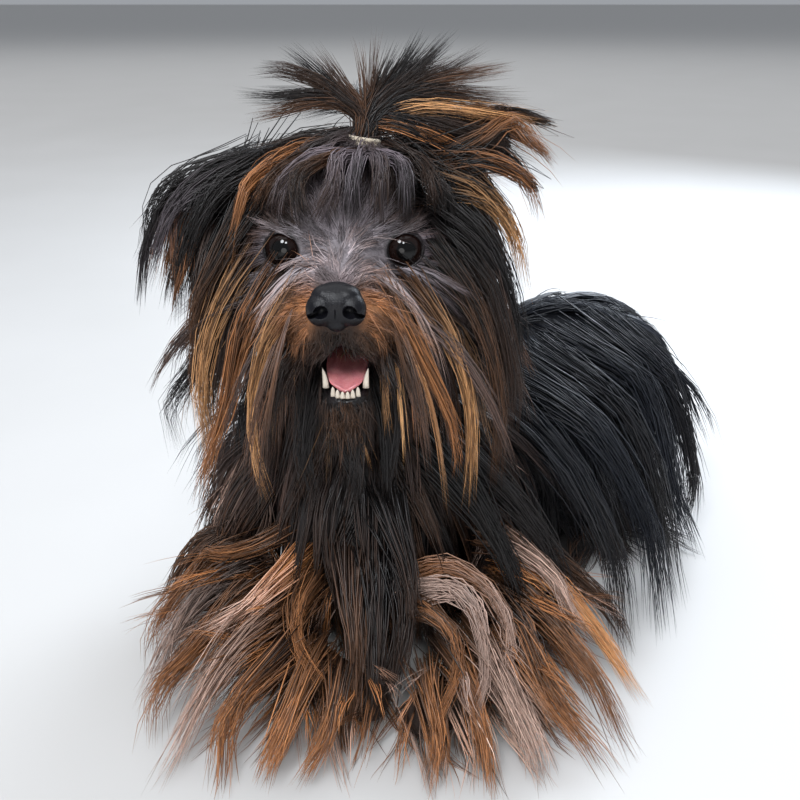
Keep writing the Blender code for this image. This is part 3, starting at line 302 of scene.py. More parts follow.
# Rose grey in these locks is painted highlight on the tan feathers
FORELEG_LOCKS = [
    # feathers of the right foreleg, fanned over the floor
    ([(-50, 20, 40), (-68, 20, 38), (-82, 12, 24), (-90, -2, 6)], 80, 5, 5, DARK_BROWN, BROWN),
    ([(-48, 8, 38), (-66, 4, 36), (-80, -9, 22), (-87, -26, 4)], 90, 6, 6, BROWN, TAN),
    ([(-42, -4, 37), (-60, -14, 36), (-75, -32, 21), (-82, -50, 4)], 110, 6, 7, DARK_BROWN, ROSE_GREY_AND_HIGHLIGHT),
    ([(-34, -16, 36), (-52, -30, 35), (-69, -50, 19), (-76, -70, 4)], 120, 6, 7, BROWN, TAN),
    ([(-26, -28, 34), (-42, -46, 33), (-58, -66, 18), (-65, -84, 4)], 120, 6, 7, BROWN, ROSE_GREY_AND_HIGHLIGHT),
    ([(-18, -38, 32), (-30, -58, 31), (-42, -76, 17), (-48, -90, 4)], 120, 6, 7, DARK_BROWN, TAN),
    ([(-10, -46, 29), (-16, -64, 28), (-25, -80, 15), (-30, -92, 4)], 110, 5, 6, BROWN, TAN),
    ([(-2, -51, 26), (-3, -66, 25), (-8, -80, 14), (-14, -90, 4)], 90, 5, 5, DARK_BROWN, TAN),
    ([(-24, 6, 54), (-40, -4, 50), (-58, -2, 44), (-72, 8, 36)], 80, 4, 4, BROWN, TAN),
    ([(-16, -6, 50), (-30, -26, 47), (-44, -36, 38), (-60, -36, 30)], 100, 5, 5, TAN, ROSE_GREY_AND_HIGHLIGHT),
    ([(-12, -16, 45), (-20, -36, 42), (-18, -52, 35), (-8, -64, 28)], 90, 5, 4, BROWN, TAN),
    # feathers of the left foreleg
    ([(72, 12, 38), (92, 6, 34), (112, -6, 20), (123, -22, 4)], 90, 6, 6, DARK_BROWN, BROWN),
    ([(66, -2, 38), (86, -12, 37), (106, -32, 21), (121, -50, 5)], 110, 5, 4, TAN, GOLD),
    ([(62, -12, 37), (80, -28, 35), (97, -54, 19), (109, -74, 4)], 110, 6, 7, BROWN, TAN),
    ([(56, -24, 35), (70, -44, 34), (84, -66, 18), (93, -84, 4)], 120, 6, 7, DARK_BROWN, TAN),
    ([(48, -36, 32), (58, -56, 31), (68, -74, 17), (74, -90, 4)], 120, 6, 7, BROWN, ROSE_GREY_AND_HIGHLIGHT),
    ([(40, -44, 29), (46, -60, 28), (52, -77, 16), (54, -92, 4)], 110, 6, 6, DARK_BROWN, TAN),
    ([(32, -52, 26), (33, -66, 25), (35, -80, 14), (34, -91, 4)], 90, 5, 5, BROWN, TAN),
    ([(20, -22, 44), (38, -18, 50), (58, -30, 46), (66, -50, 36), (54, -70, 26)], 120, 4, 3, TAN, ROSE_GREY_AND_HIGHLIGHT),
    (
        [(20, -28, 40), (38, -28, 46), (53, -40, 42), (56, -58, 33), (44, -76, 22)],
        120, 4, 3, ROSE_GREY_AND_HIGHLIGHT, ROSE_GREY_AND_HIGHLIGHT,
    ),  # fmt: skip
    ([(16, -32, 35), (30, -36, 41), (41, -48, 38), (42, -64, 29), (32, -80, 17)], 100, 4, 3, BROWN, TAN),
    ([(58, 4, 50), (74, -6, 48), (90, -20, 38), (100, -38, 26)], 100, 5, 5, BROWN, ROSE_GREY_AND_HIGHLIGHT),
]
# Dark hair of the breast, between the paws and over the shoulder
BREAST_LOCKS = [
    ([(10, -14, 62), (12, -34, 46), (12, -52, 30), (8, -68, 14)], 120, 6, 5, BLACK, DARK_BROWN),
    ([(18, -14, 62), (22, -34, 44), (20, -50, 28), (16, -64, 10)], 110, 6, 5, BLACK, DARK_BROWN),
    ([(2, -14, 62), (2, -36, 46), (4, -54, 30), (4, -70, 16)], 100, 6, 5, DARK_BROWN, BROWN),
    ([(30, 6, 100), (52, -10, 76), (66, -18, 52), (72, -26, 36)], 100, 7, 6, BLACK, BLACK),
    ([(36, 16, 96), (64, 4, 74), (86, -6, 46), (96, -14, 22)], 110, 7, 7, BLACK, BLACK),
    ([(14, -16, 84), (22, -32, 66), (26, -40, 52), (28, -46, 40)], 80, 6, 5, BLACK, DARK_BROWN),
]
# Long locks of the flank, down to the floor
FLANK_LOCKS = [
    ([(70, 48, 92), (98, 22, 74), (116, -2, 38), (120, -18, 4)], 120, 8, 8, BLUE_BLACK, BLACK),
    ([(78, 60, 100), (110, 36, 88), (132, 12, 48), (140, -2, 4)], 130, 8, 8, BLUE_BLACK, BLUE_BLACK),
    ([(90, 76, 106), (124, 54, 88), (146, 32, 46), (152, 18, 4)], 130, 8, 8, BLUE_BLACK, BLACK),
    ([(104, 90, 110), (140, 70, 90), (160, 54, 48), (164, 44, 5)], 120, 8, 8, BLUE_BLACK, BLUE_BLACK),
    ([(120, 104, 112), (155, 88, 88), (173, 78, 48), (176, 74, 8)], 110, 8, 8, BLUE_BLACK, BLACK),
]
LAID_LOCKS = {"face": FACE_LOCKS, "foreleg": FORELEG_LOCKS, "chest": BREAST_LOCKS, "body": FLANK_LOCKS}
# Tips of the fan above the band: place in millimetres, strands, spread and the colours
TOPKNOT_TIPS_MM = [
    ((-40, 28, 232), 70, 3, DARK_BROWN, BLACK),
    ((-35, 26, 225), 60, 3, BLACK, BROWN),
    ((-32, 28, 240), 70, 3, BROWN, DARK_BROWN),
    ((-21, 28, 247), 60, 3, DARK_BROWN, BLACK),
    ((-11, 28, 248), 45, 3, BROWN, DARK_BROWN),
    ((5, 28, 252), 10, 2, BROWN, BROWN),
    ((13, 28, 252), 14, 2, BROWN, DARK_BROWN),
    ((21, 28, 250), 45, 3, BROWN, BLACK),
    ((30, 28, 252), 70, 3, BLACK, BLACK),
    ((41, 28, 252), 80, 3, DARK_BROWN, BLACK),
    ((52, 28, 247), 80, 3, BLACK, DARK_BROWN),
    ((60, 28, 241), 70, 3, BLACK, BROWN),
    ((68, 28, 232), 70, 4, BLACK, BROWN),
    ((77, 28, 221), 50, 4, DARK_BROWN, GOLD),
    ((74, 26, 208), 60, 4, BLACK, DARK_BROWN),
    ((66, 24, 198), 50, 4, BLACK, TAN),
    ((44, 29, 243), 80, 4, BLACK, DARK_BROWN),
    ((55, 28, 231), 90, 4, BLACK, BLACK),
    ((62, 27, 217), 90, 4, BLACK, DARK_BROWN),
    ((52, 26, 206), 70, 4, BLACK, BLACK),
    ((6, 62, 228), 70, 5, DARK_BROWN, BLACK),
    ((36, 58, 226), 70, 5, DARK_BROWN, BROWN),
    ((-22, 54, 222), 60, 5, DARK_BROWN, BLACK),
]

# For each part of the coat: strands, pieces along a strand, spacing of the locks and width of a
# strand, in millimetres, how closely a lock's strands draw together at the tip, how high they ride
# on the skin, and how often a lock is streaked with which colour
COATS = {
    "fuzz": (9000, 3, 2.6, 0.34, 0.4, (0.15, 0.9), (0.0, GOLD)),
    "face": (8400, 6, 5.6, 0.56, 0.74, (0.6, 5.0), (0.13, GOLD)),
    "ear": (4000, 5, 5.0, 0.52, 0.66, (0.5, 3.0), (0.16, TAN)),
    "chest": (3500, 5, 8.5, 0.78, 0.72, (0.8, 5.0), (0.10, BROWN)),
    "body": (7600, 6, 9.5, 0.92, 0.72, (0.8, 5.6), (0.10, DARK_BROWN)),
    # the forelegs' rose-grey streaks are painted highlight
    "foreleg": (4200, 6, 6.5, 0.62, 0.74, (0.6, 4.6), (0.32, ROSE_GREY_AND_HIGHLIGHT)),
    "hindleg": (2200, 5, 8.0, 0.8, 0.7, (0.8, 4.6), (0.10, DARK_BROWN)),
    "tail": (1000, 5, 7.0, 0.75, 0.7, (0.8, 4.0), (0.05, DARK_BROWN)),
    "topknot": (0, 6, 0, 0.5, 0, (0, 0), (0.0, GOLD)),
}
PIECE_LIMIT = 190000  # triangles
BAKE_PATCH = 0.003  # share of the unwrap that a strand takes up
FLOOR = 0.4  # how far skin and hair stay above the floor, in millimetres
LOCK_TRIALS = 9000  # places tried as the root of a lock
LOCK_REACHES, STRAND_REACHES = (0.82, 1.12), (0.6, 1.05)  # against the length combed there
LOCK_TONES = (0.4, 0.5, 1.6)  # how much the locks' lightness varies, and its limits
WIDTHS = (0.7, 1.25)  # of a strand, against its part's own
STRAY_SHARE, STRAY_DRAW, STRAY_SCATTER, SCATTER = 0.06, 0.1, 5.0, 1.1
ROOT_DEPTH = 0.4
LAID_SAMPLES = 41
LAID_SWAY = 0.035  # of the lock's length
LAID_SHORTEST, LAID_LONGEST = 0.62, 1.06
UNDERSIDE = 3  # no hair grows on skin that lies lower than this, in millimetres
TOPKNOT_FULLNESS, TOPKNOT_ROOT_SPREAD, TOPKNOT_TIP_SPREAD = 1.8, 2.4, 1.3
TOPKNOT_SHORTEST = 0.82


def vec(x, y, z):
    """A place or size given in millimetres."""
    return Vector((x, y, z)) * MM


def turned_head(x, y, z):
    """A place of the head's own frame, from under the eyes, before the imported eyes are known."""
    return Matrix.Rotation(-HEAD_PITCH, 3, "X") @ vec(x, y, z) + Vector((0, 0, EYE_HEIGHT))


def middle(node):
    """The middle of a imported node's box."""
    low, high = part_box(node)
    return (low + high) / 2


ORIGIN = (middle("eye_left") + middle("eye_right")) / 2 - turned_head(0, EYE_SET_BACK, 0)
EYE_RADIUS = (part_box("eye_left")[1].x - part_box("eye_left")[0].x) / 2


def place(x, y, z):
    """A place given in millimetres from the floor under the eyes."""
    return vec(x, y, z) + ORIGIN


def head_place(x, y, z):
    """A place given in millimetres in the head's own frame."""
    return turned_head(x, y, z) + ORIGIN


def in_floor_frame(x, y, z):
    """A place of the head's own frame in millimetres from the floor under the eyes."""
    return tuple((head_place(x, y, z) - ORIGIN) / MM)


def eye_centre(side):
    """The middle of an eyeball: side is 1 for the dog's left and -1 for its right."""
    return head_place(side * EYE_SPACING / 2, EYE_SET_BACK, 0)


def eye_axis(side):
    """The way an eye looks, slightly outwards."""
    return Vector((side * math.sin(EYE_TOE_OUT), -math.cos(EYE_TOE_OUT), 0.1)).normalized()


def lid_plane(side):
    """The middle of the ring of the lids."""
    return eye_centre(side) + eye_axis(side) * LID_PLANE * MM


LEVEL = Matrix.Rotation(-HEAD_PITCH, 3, "X")
JAW_LEVEL = Matrix.Rotation(JAW_DROP - HEAD_PITCH, 3, "X")
# The hollows of the open mouth: centre, radii in millimetres and tilt
MOUTH_HOLLOWS = [
    (head_place(MOUTH_OFFSET, -18, -33.0), (9.4, 23, 4.6), LEVEL),
    (head_place(MOUTH_OFFSET, -19, -40.0), (9.0, 21, 6.6), JAW_LEVEL),
]
BAND_PLACE = place(*BAND_PLACE_MM)


class Wire:
    """A shader value: arithmetic on it adds Math nodes."""

    def __init__(self, paint, socket):
        self.paint = paint
        self.socket = socket

    def maths(self, operation, first, second):
        """The output of a Math node on two values."""
        return self.paint.node("ShaderNodeMath", {"operation": operation}, {0: first, 1: second})[0]

    def __add__(self, other):
        return self.maths("ADD", self, other)

    def __radd__(self, other):
        return self.maths("ADD", other, self)

    def __sub__(self, other):
        return self.maths("SUBTRACT", self, other)

    def __rsub__(self, other):
        return self.maths("SUBTRACT", other, self)

    def __mul__(self, other):
        return self.maths("MULTIPLY", self, other)

    def __rmul__(self, other):
        return self.maths("MULTIPLY", other, self)


class Paint:
    """A material and the nodes that make it."""

    def __init__(self, name, **fixed):
        self.material = bpy.data.materials.new(name)
        self.material.use_nodes = True
        self.tree = self.material.node_tree
        self.shader = self.tree.nodes["Principled BSDF"]
        for socket, value in fixed.items():
            self.shader.inputs[socket.replace("_", " ")].default_value = value

    def node(self, kind, settings=None, sockets=None):
        """Adds a node of a kind with its settings, then its sockets, and returns its outputs."""
        made = self.tree.nodes.new(kind)
        for name, value in (settings or {}).items():
            setattr(made, name, value)
        for name, value in (sockets or {}).items():
            if isinstance(value, Wire):
                self.tree.links.new(value.socket, made.inputs[name])
            else:
                made.inputs[name].default_value = value
        return [Wire(self, socket) for socket in made.outputs]

    def value(self, name):
        """A number kept on the mesh."""
        return self.node("ShaderNodeAttribute", {"attribute_name": name})[2]

    def colour(self, name):
        """A colour kept on the mesh."""
        return self.node("ShaderNodeAttribute", {"attribute_name": name})[0]

    def object_place(self):
        """The place on the piece, in its own frame."""
        return self.node("ShaderNodeTexCoord")[3]

    def noise(self, scale, detail=3.0):
        """Soft uneven patches: the larger the scale, the finer they are."""
        sockets = {"Scale": scale, "Detail": detail, "Vector": self.object_place()}
        return self.node("ShaderNodeTexNoise", None, sockets)[0]

    def level(self, value, low, high, to_low=0.0, to_high=1.0):
        """A number carried from one range to another, and kept inside it."""
        sockets = {"Value": value, 1: low, 2: high, 3: to_low, 4: to_high}
        return self.node("ShaderNodeMapRange", {"clamp": True}, sockets)[0]

    def mixed(self, amount, first, second, blend="MIX"):
        """Two colours, linked or plain, mixed or multiplied."""
        def solid(value):
            return value if isinstance(value, Wire) else (*value, 1)

        settings = {"data_type": "RGBA", "blend_type": blend}
        sockets = {0: amount, 6: solid(first), 7: solid(second)}
        return self.node("ShaderNodeMix", settings, sockets)[2]

    def shaded(self, base, shade):
        """A colour made lighter or darker by a number."""
        grey = self.node("ShaderNodeCombineColor", None, {0: shade, 1: shade, 2: shade})[0]
        return self.mixed(1.0, base, grey, "MULTIPLY")

    def bump(self, height, strength, distance):
        """A normal bent by a height, over a distance in metres."""
        sockets = {"Height": height, "Strength": strength, "Distance": distance}
        return self.node("ShaderNodeBump", None, sockets)[0]

    def feed(self, **sockets):
        """Links what varies over the surface to the shader."""
        for name, value in sockets.items():
            self.tree.links.new(value.socket, self.shader.inputs[name.replace("_", " ")])
        return self.material


def chosen(name):
    """A colour as the user has set it."""
    return tuple(getattr(bpy.context.scene.terrier_sizes, name))


def coat_material():
    """Silky hair: the coat's own colours from root to tip, uneven from strand to strand."""
    paint = Paint("coat_hair", Specular_IOR_Level=0.5)
    along = paint.value("along")
    chance = paint.value("chance")
    streak = paint.noise(420, 2.0)
    reach = paint.level(along + (chance - 0.5) * 0.5, 0.15, 0.95)
    base = paint.mixed(reach, paint.colour("root_tint"), paint.colour("tip_tint"))
    shade = paint.level(chance * 0.75 + streak * 0.5, 0.1, 1.0, 0.55, 1.4)
    base = paint.mixed(1.0, paint.shaded(base, shade), chosen("coat_tone"), "MULTIPLY")
    rough = paint.level(chance + streak * 0.4, 0.0, 1.4, 0.33, 0.52)
    return paint.feed(Base_Color=base, Roughness=rough)


def skin_material():
    """Down in the coat's own colours, and bare wet skin on lids and lips and in the mouth: near black, the
    own colour of lids and lips and painted shade inside the mouth.
    """
    paint = Paint("skin_and_down", Specular_IOR_Level=0.4)
    down = paint.noise(900, 3.0)
    patch = paint.noise(160, 2.0)
    shade = paint.level(down * 0.7 + patch * 0.5, 0.35, 0.85, 0.35, 1.1)
    furred = paint.shaded(paint.colour("root_tint"), shade)
    bare = paint.value("bare")
    # near black: the own colour of lids and lips, and painted shade on the lining inside the mouth
    lips = paint.mixed(paint.level(patch, 0.35, 0.65), (0.004, 0.0035, 0.004), (0.011, 0.007, 0.008))
    base = paint.mixed(bare, furred, lips)
    rough = paint.level(bare, 0, 1, 0.7, 0.28)
    return paint.feed(Base_Color=base, Roughness=rough, Normal=paint.bump(down, 0.6, 0.0008))


def shaded_smooth(obj):
    """The object, with every face shaded smooth."""
    obj.data.polygons.foreach_set("use_smooth", [True] * len(obj.data.polygons))
    return obj


def show(name, mesh, material, slot, *stands_for):
    """Adds a finished piece to the scene, rides it and hides the imported parts that it stands for; the slot
    is not used.
    """
    mesh.name = name
    mesh.materials.clear()
    mesh.materials.append(material)
    obj = bpy.data.objects.new(name, mesh)
    bpy.context.scene.collection.objects.link(obj)
    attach(obj, "root")
    if stands_for:
        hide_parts(*stands_for)
    return shaded_smooth(obj)


def mesh_of(bm, name):
    """The finished mesh of a bmesh."""
    mesh = bpy.data.meshes.new(name)
    bm.to_mesh(mesh)
    bm.free()
    return mesh


def taken(obj):
    """The mesh of a work object, which is removed."""
    mesh = obj.data
    bpy.data.objects.remove(obj)
    return mesh


def hold(bm, name="form"):
    """A work object made from a bmesh."""
    bmesh.ops.recalc_face_normals(bm, faces=bm.faces)
    obj = bpy.data.objects.new(name, mesh_of(bm, name))
    bpy.context.scene.collection.objects.link(obj)
    return obj


def ball(centre, radii, turn=None, segments=24):
    """An ellipsoid with radii in millimetres along its own axes."""
    bm = bmesh.new()
    bmesh.ops.create_uvsphere(bm, u_segments=segments, v_segments=segments // 2 + 2, radius=1)
    shape = Matrix.Diagonal((*vec(*radii), 1))
    if turn is not None:
        shape = turn.to_4x4() @ shape
    bmesh.ops.transform(bm, matrix=Matrix.Translation(centre) @ shape, verts=bm.verts)
    return hold(bm)


def smooth_path(points, count):
    """Points evenly spread in parameter along a Catmull-Rom curve through rows of any size."""
    points = [np.array(point, float) for point in points]
    padded = [points[0] * 2 - points[1], *points, points[-1] * 2 - points[-2]]
    path = []
    for i in range(count):
        where = i / (count - 1) * (len(points) - 1)
        k = min(int(where), len(points) - 2)
        t = where - k
        a, b, c, d = padded[k : k + 4]
        path.append(
            (b * 2 + (c - a) * t + (a * 2 - b * 5 + c * 4 - d) * t * t + (b * 3 - a - c * 3 + d) * t**3) / 2
        )
    return path


def limb(points, radii, count=26):
    """Balls strung along a curve, close enough that remeshing makes one limb of them."""
    rows = smooth_path([(*p, r) for p, r in zip(points, radii)], count)
    return [ball(place(*q[:3]), (q[3],) * 3, segments=20) for q in rows]


def applied(obj):
    """The object with its modifiers made real."""
    graph = bpy.context.evaluated_depsgraph_get()
    mesh = bpy.data.meshes.new_from_object(obj.evaluated_get(graph))
    obj.modifiers.clear()
    obj.data = mesh
    return obj


def gathered_up(pieces):
    """One work object that holds the pieces' meshes side by side."""
    bm = bmesh.new()
    for piece in pieces:
        bm.from_mesh(taken(piece))
    return hold(bm)


def in_order(mesh):
    """The mesh with its points and faces sorted, so that each run gives the same one."""
    places = np.empty(len(mesh.vertices) * 3)
    mesh.vertices.foreach_get("co", places)
    places = places.reshape(-1, 3)
    order = np.lexsort(places.round(7).T)
    rank = np.empty(len(order), int)
    rank[order] = np.arange(len(order))
    faces = []
    for polygon in mesh.polygons:
        corners = [int(rank[k]) for k in polygon.vertices]
        first = corners.index(min(corners))
        faces.append(corners[first:] + corners[:first])
    made = bpy.data.meshes.new(mesh.name)
    made.from_pydata(places[order].tolist(), [], sorted(faces))
    return made


def melted(pieces, voxel, smoothing, factor=0.5):
    """Overlapping pieces melted into one smooth form."""
    obj = gathered_up(pieces)
    remesh = obj.modifiers.new("melt", "REMESH")
    remesh.mode = "VOXEL"
    remesh.voxel_size = voxel * MM
    applied(obj)
    obj.data = in_order(obj.data)
    soften = obj.modifiers.new("soften", "SMOOTH")
    soften.factor = factor
    soften.iterations = smoothing
    return applied(obj)


def boolean(obj, others, operation):
    """Joins or cuts with all the other objects at once, and removes them."""
    group = bpy.data.collections.new("operands")
    bpy.context.scene.collection.children.link(group)
    for other in others:
        group.objects.link(other)
        bpy.context.scene.collection.objects.unlink(other)
    modifier = obj.modifiers.new("boolean", "BOOLEAN")
    modifier.operation = operation
    modifier.solver = "MANIFOLD"
    modifier.operand_type = "COLLECTION"
    modifier.collection = group
    applied(obj)
    for other in others:
        bpy.data.objects.remove(other)
    bpy.data.collections.remove(group)
    if not obj.data.polygons:
        raise RuntimeError("A cut or a join left nothing")
    return obj


def bridged(bm, loops, closed=False):
    """Faces from each loop of points to the next, and over both ends unless the row closes up."""
    sides = len(loops[0])
    for low, high in zip(loops, loops[1:] + loops[:1] if closed else loops[1:]):
        for k in range(sides):
            j = (k + 1) % sides
            bm.faces.new((low[k], low[j], high[j], high[k]))
    if not closed:
        bm.faces.new(loops[0])
        bm.faces.new(loops[-1])
    return bm


def ring(centre, axis, major, minor, around=48, sides=12, ridges=0, depth=0.0):
    """A torus about an axis, in millimetres, with ridges that wind round it."""
    bm = bmesh.new()
    turn = axis.to_track_quat("Z", "Y").to_matrix()
    loops = []
    for i in range(around):
        a = 2 * math.pi * i / around
        out = turn @ Vector((math.cos(a), math.sin(a), 0))
        loop = []
        for k in range(sides):
            b = 2 * math.pi * k / sides
            thick = minor + depth * math.cos(ridges * a + 2 * b)
            outwards = out * (major + thick * math.cos(b)) * MM
            loop.append(bm.verts.new(centre + outwards + turn.col[2] * thick * math.sin(b) * MM))
        loops.append(loop)
    return hold(bridged(bm, loops, closed=True))


def mirrored_in_rump(point):
    """The same place on the far side of the hips."""
    offset = Vector(point) - RUMP_CENTRE
    return tuple(Vector(point) - RUMP_LEFT * 2 * offset.dot(RUMP_LEFT))


def body_forms():
    """Torso, neck, legs and tail."""
    pieces = []
    sections = smooth_path(SPINE, SPINE_STEPS)
    for i, row in enumerate(sections):
        along = sections[min(i + 1, SPINE_STEPS - 1)] - sections[max(i - 1, 0)]
        yaw = Matrix.Rotation(-math.atan2(along[0], along[1]), 3, "Z")
        pieces.append(ball(place(*row[:3]), (row[3] - INSET, 22, row[4] - INSET), yaw))
    pieces += limb([(6, 34, 96), (3, 40, 128), in_floor_frame(0, 40, -8)], [35, 31, 27], 8)
    for joints, radii in (
        (FORELEG_RIGHT, FORELEG_RADII),
        (FORELEG_LEFT, FORELEG_RADII),
        (HINDLEG_LEFT, HINDLEG_RADII),
        ([mirrored_in_rump(p) for p in HINDLEG_LEFT], HINDLEG_RADII),
        (TAIL, TAIL_RADII),
    ):
        pieces += limb(joints, [r - INSET for r in radii])
    return pieces


def head_forms():
    """Skull, cheeks, muzzle and dropped lower jaw."""
    forms = [
        ((0, 36, 8), (34, 38, 29)),
        ((0, 8, 9), (25, 17, 19)),
        ((0, 34, -24), (23, 26, 22)),
    ]
    for side in (-1, 1):
        forms.append(((side * 21, 24, -10), (17, 24, 19)))
        forms.append(((side * 7.5, -27, -20), (10, 14, 9.5)))
        forms.append(((side * 7.0, -30, -25), (9.5, 10, 7.0)))
    pieces = [ball(head_place(*centre), np.array(radii) - INSET / 2, LEVEL, 28) for centre, radii in forms]
    muzzle = [in_floor_frame(0, 4, -8), in_floor_frame(0, 5 - MUZZLE_LENGTH, NOSE_HEIGHT - 3)]
    jaw = [in_floor_frame(0, 16, -28), in_floor_frame(MOUTH_OFFSET, -26, -49)]
    pieces += limb(muzzle, [17.5, 11.2], 12)
    pieces += [ball(eye_centre(side), (EYE_RADIUS / MM + LID_MOUND,) * 3) for side in (-1, 1)]
    pieces += limb(jaw, [14.5, 8.4], 12)
    return pieces


def ear_form(side):
    """A thin V-shaped ear, cupped towards the front, as a closed shell."""
    root, tip, facing = (Vector(row) for row in EARS[side])
    root, tip = place(*root), place(*tip)
    along = tip - root
    across = along.cross(facing).normalized()
    front = across.cross(along).normalized()
    bm = bmesh.new()
    rows, columns = EAR_ROWS_ALONG, EAR_ROWS_ACROSS
    sheets = []
    for depth in (0.0, EAR_THICKNESS):
        grid = []
        for i in range(rows):
            t = i / (rows - 1)
            half = EAR_WIDTH / 2 * (1 - t**1.7) * (0.55 + 0.45 * min(1, t / 0.22)) + 0.5
            line = []
            for j in range(columns):
                s = 2 * j / (columns - 1) - 1
                cup = EAR_CUP * (1 - t) ** 0.7 * (1 - s * s)
                thin = depth * (1 - 0.55 * s * s) * (1 - 0.4 * t)
                back = front * (cup + thin) * MM
                line.append(bm.verts.new(root + along * t + across * half * s * MM - back))
            grid.append(line)
        sheets.append(grid)
    near, far = sheets
    for i in range(rows - 1):
        for j in range(columns - 1):
            bm.faces.new((near[i][j], near[i][j + 1], near[i + 1][j + 1], near[i + 1][j]))
            bm.faces.new((far[i][j], far[i + 1][j], far[i + 1][j + 1], far[i][j + 1]))
        for j in (0, columns - 1):
            bm.faces.new((near[i][j], near[i + 1][j], far[i + 1][j], far[i][j]))
    for j in range(columns - 1):
        for i in (0, rows - 1):
            bm.faces.new((near[i][j], far[i][j], far[i][j + 1], near[i][j + 1]))
    return hold(bm, "ear")


def blended_rows(rows, places_mm):
    """The comb way, length, droop and the two colours at many places, blended from the rows."""
    where = np.array([row[1] for row in rows], float)
    ways = np.array([Vector(row[2]).normalized() for row in rows])
    numbers = np.array([(row[3], row[4], *row[5], *row[6]) for row in rows], float)
    away = ((places_mm[:, None, :] - where[None]) ** 2).sum(-1) + 9
    weight = 1 / away**2
    weight /= weight.sum(1, keepdims=True)
    way = weight @ ways
    way /= np.linalg.norm(way, axis=1, keepdims=True) + 1e-9
    values = weight @ numbers
    return way, values[:, 0], values[:, 1], values[:, 2:5], values[:, 5:8], away.argmin(1)


def mirrored(row):
    """A row of the coat for the dog's other side."""
    part, where, way, *rest = row
    return (part, (-where[0], *where[1:]), (-way[0], *way[1:]), *rest)


def in_rump_mirror(row):
    """A row of the coat for the far side of the hips."""
    part, where, way, *rest = row
    way = Vector(way)
    return (part, mirrored_in_rump(where), tuple(way - RUMP_LEFT * 2 * way.dot(RUMP_LEFT)), *rest)


def all_rows():
    """The rows of the coat for the whole dog, without the ears."""
    rows = list(COAT_ROWS)
    rows += [mirrored(row) for row in COAT_ROWS if row[0] in ("face", "fuzz")]
    rows += [in_rump_mirror(row) for row in COAT_ROWS if row[0] == "hindleg"]
    return rows


def keep_number(mesh, name, values):
    """Keeps a number for each point of the mesh."""
    kept = mesh.attributes.new(name, "FLOAT", "POINT")
    kept.data.foreach_set("value", np.asarray(values, np.float32))


def keep_colour(mesh, name, values):
    """Keeps a colour for each point of the mesh."""
    full = np.ones((len(values), 4), np.float32)
    full[:, :3] = values
    mesh.attributes.new(name, "FLOAT_COLOR", "POINT").data.foreach_set("color", full.ravel())


def corners_of(mesh):
    """The places of a mesh's points."""
    places = np.empty(len(mesh.vertices) * 3)
    mesh.vertices.foreach_get("co", places)
    return places.reshape(-1, 3)


def in_mm(places):
    """Places in the floor frame, in millimetres."""
    return (np.asarray(places) - np.array(ORIGIN)) / MM


class TERRIER_OT_skin(bpy.types.Operator):
    """Builds the skin of the whole dog, with lids, lips and ears, under the coat."""

    bl_idname = "terrier.skin"
    bl_label = "Skin"

    def execute(self, context):
        sizes = context.scene.terrier_sizes
        skin = melted(body_forms() + head_forms(), sizes.skin_grain / MM, 5)
        cuts = []
        for side in (-1, 1):
            turn = eye_axis(side).to_track_quat("Z", "Y").to_matrix()
            hollow = eye_centre(side) + eye_axis(side) * LID_HOLLOW_PLACE * MM
            cuts.append(ball(eye_centre(side), (EYE_RADIUS / MM + EYE_ROOM,) * 3, turn, 40))
            cuts.append(ball(hollow, LID_HOLLOW_RADII, turn, 40))
        cuts += [ball(centre, radii, turn, 28) for centre, radii, turn in MOUTH_HOLLOWS]
        boolean(skin, cuts, "DIFFERENCE")
        lids = [ring(lid_plane(s), eye_axis(s), LID_RADIUS, LID_THICKNESS, 40, 10) for s in (-1, 1)]
        ears = [ear_form(side) for side in EARS]
        bm = bmesh.new()
        bm.from_mesh(taken(skin))
        bm.from_mesh(taken(gathered_up(lids)))
        body_points = len(bm.verts)
        for ear in ears:
            bm.from_mesh(taken(ear))
        bmesh.ops.triangulate(bm, faces=bm.faces)
        for vert in bm.verts:
            vert.co.z = max(vert.co.z, ORIGIN.z + FLOOR * MM)
        mesh = mesh_of(bm, "skin")
        where = in_mm(corners_of(mesh))
        tint = blended_rows(all_rows(), where)[3]
        tint[body_points:] = blended_rows(EAR_ROWS, where)[3][body_points:]
        keep_colour(mesh, "root_tint", tint)
        keep_number(mesh, "bare", self.bareness(mesh))
        show(
            "skin", mesh, skin_material(), "dark_coat",
            "head", "neck", "torso", "tail", "ear_left", "ear_right",
            "foreleg_left", "foreleg_right", "hindleg_left", "hindleg_right",
        )  # fmt: skip
        mesh["body_points"] = body_points
        return {"FINISHED"}

    def bareness(self, mesh):
        """How bare each point of the skin is: 1 in the mouth, on the lips and on the lids."""
        where = corners_of(mesh)
        bare = np.zeros(len(where))
        for centre, radii, turn in MOUTH_HOLLOWS:
            inside = (where - np.array(centre)) @ np.array(turn) / (np.array(radii) * MM)
            bare = np.maximum(bare, np.clip((1.3 - np.linalg.norm(inside, axis=1)) / 0.12, 0, 1))
        for side in (-1, 1):
            away = np.linalg.norm(in_mm(where) - in_mm(lid_plane(side)), axis=1)
            bare = np.maximum(bare, np.clip((LID_BARE - away) / LID_BLEND, 0, 1))
        return bare


def in_box(where, middle, half, back, low, high):
    """Which places lie in a box in front of the face."""
    x, y, z = where[..., 0], where[..., 1], where[..., 2]
    return (abs(x - middle) < half) & (y < back) & (z > low) & (z < high)


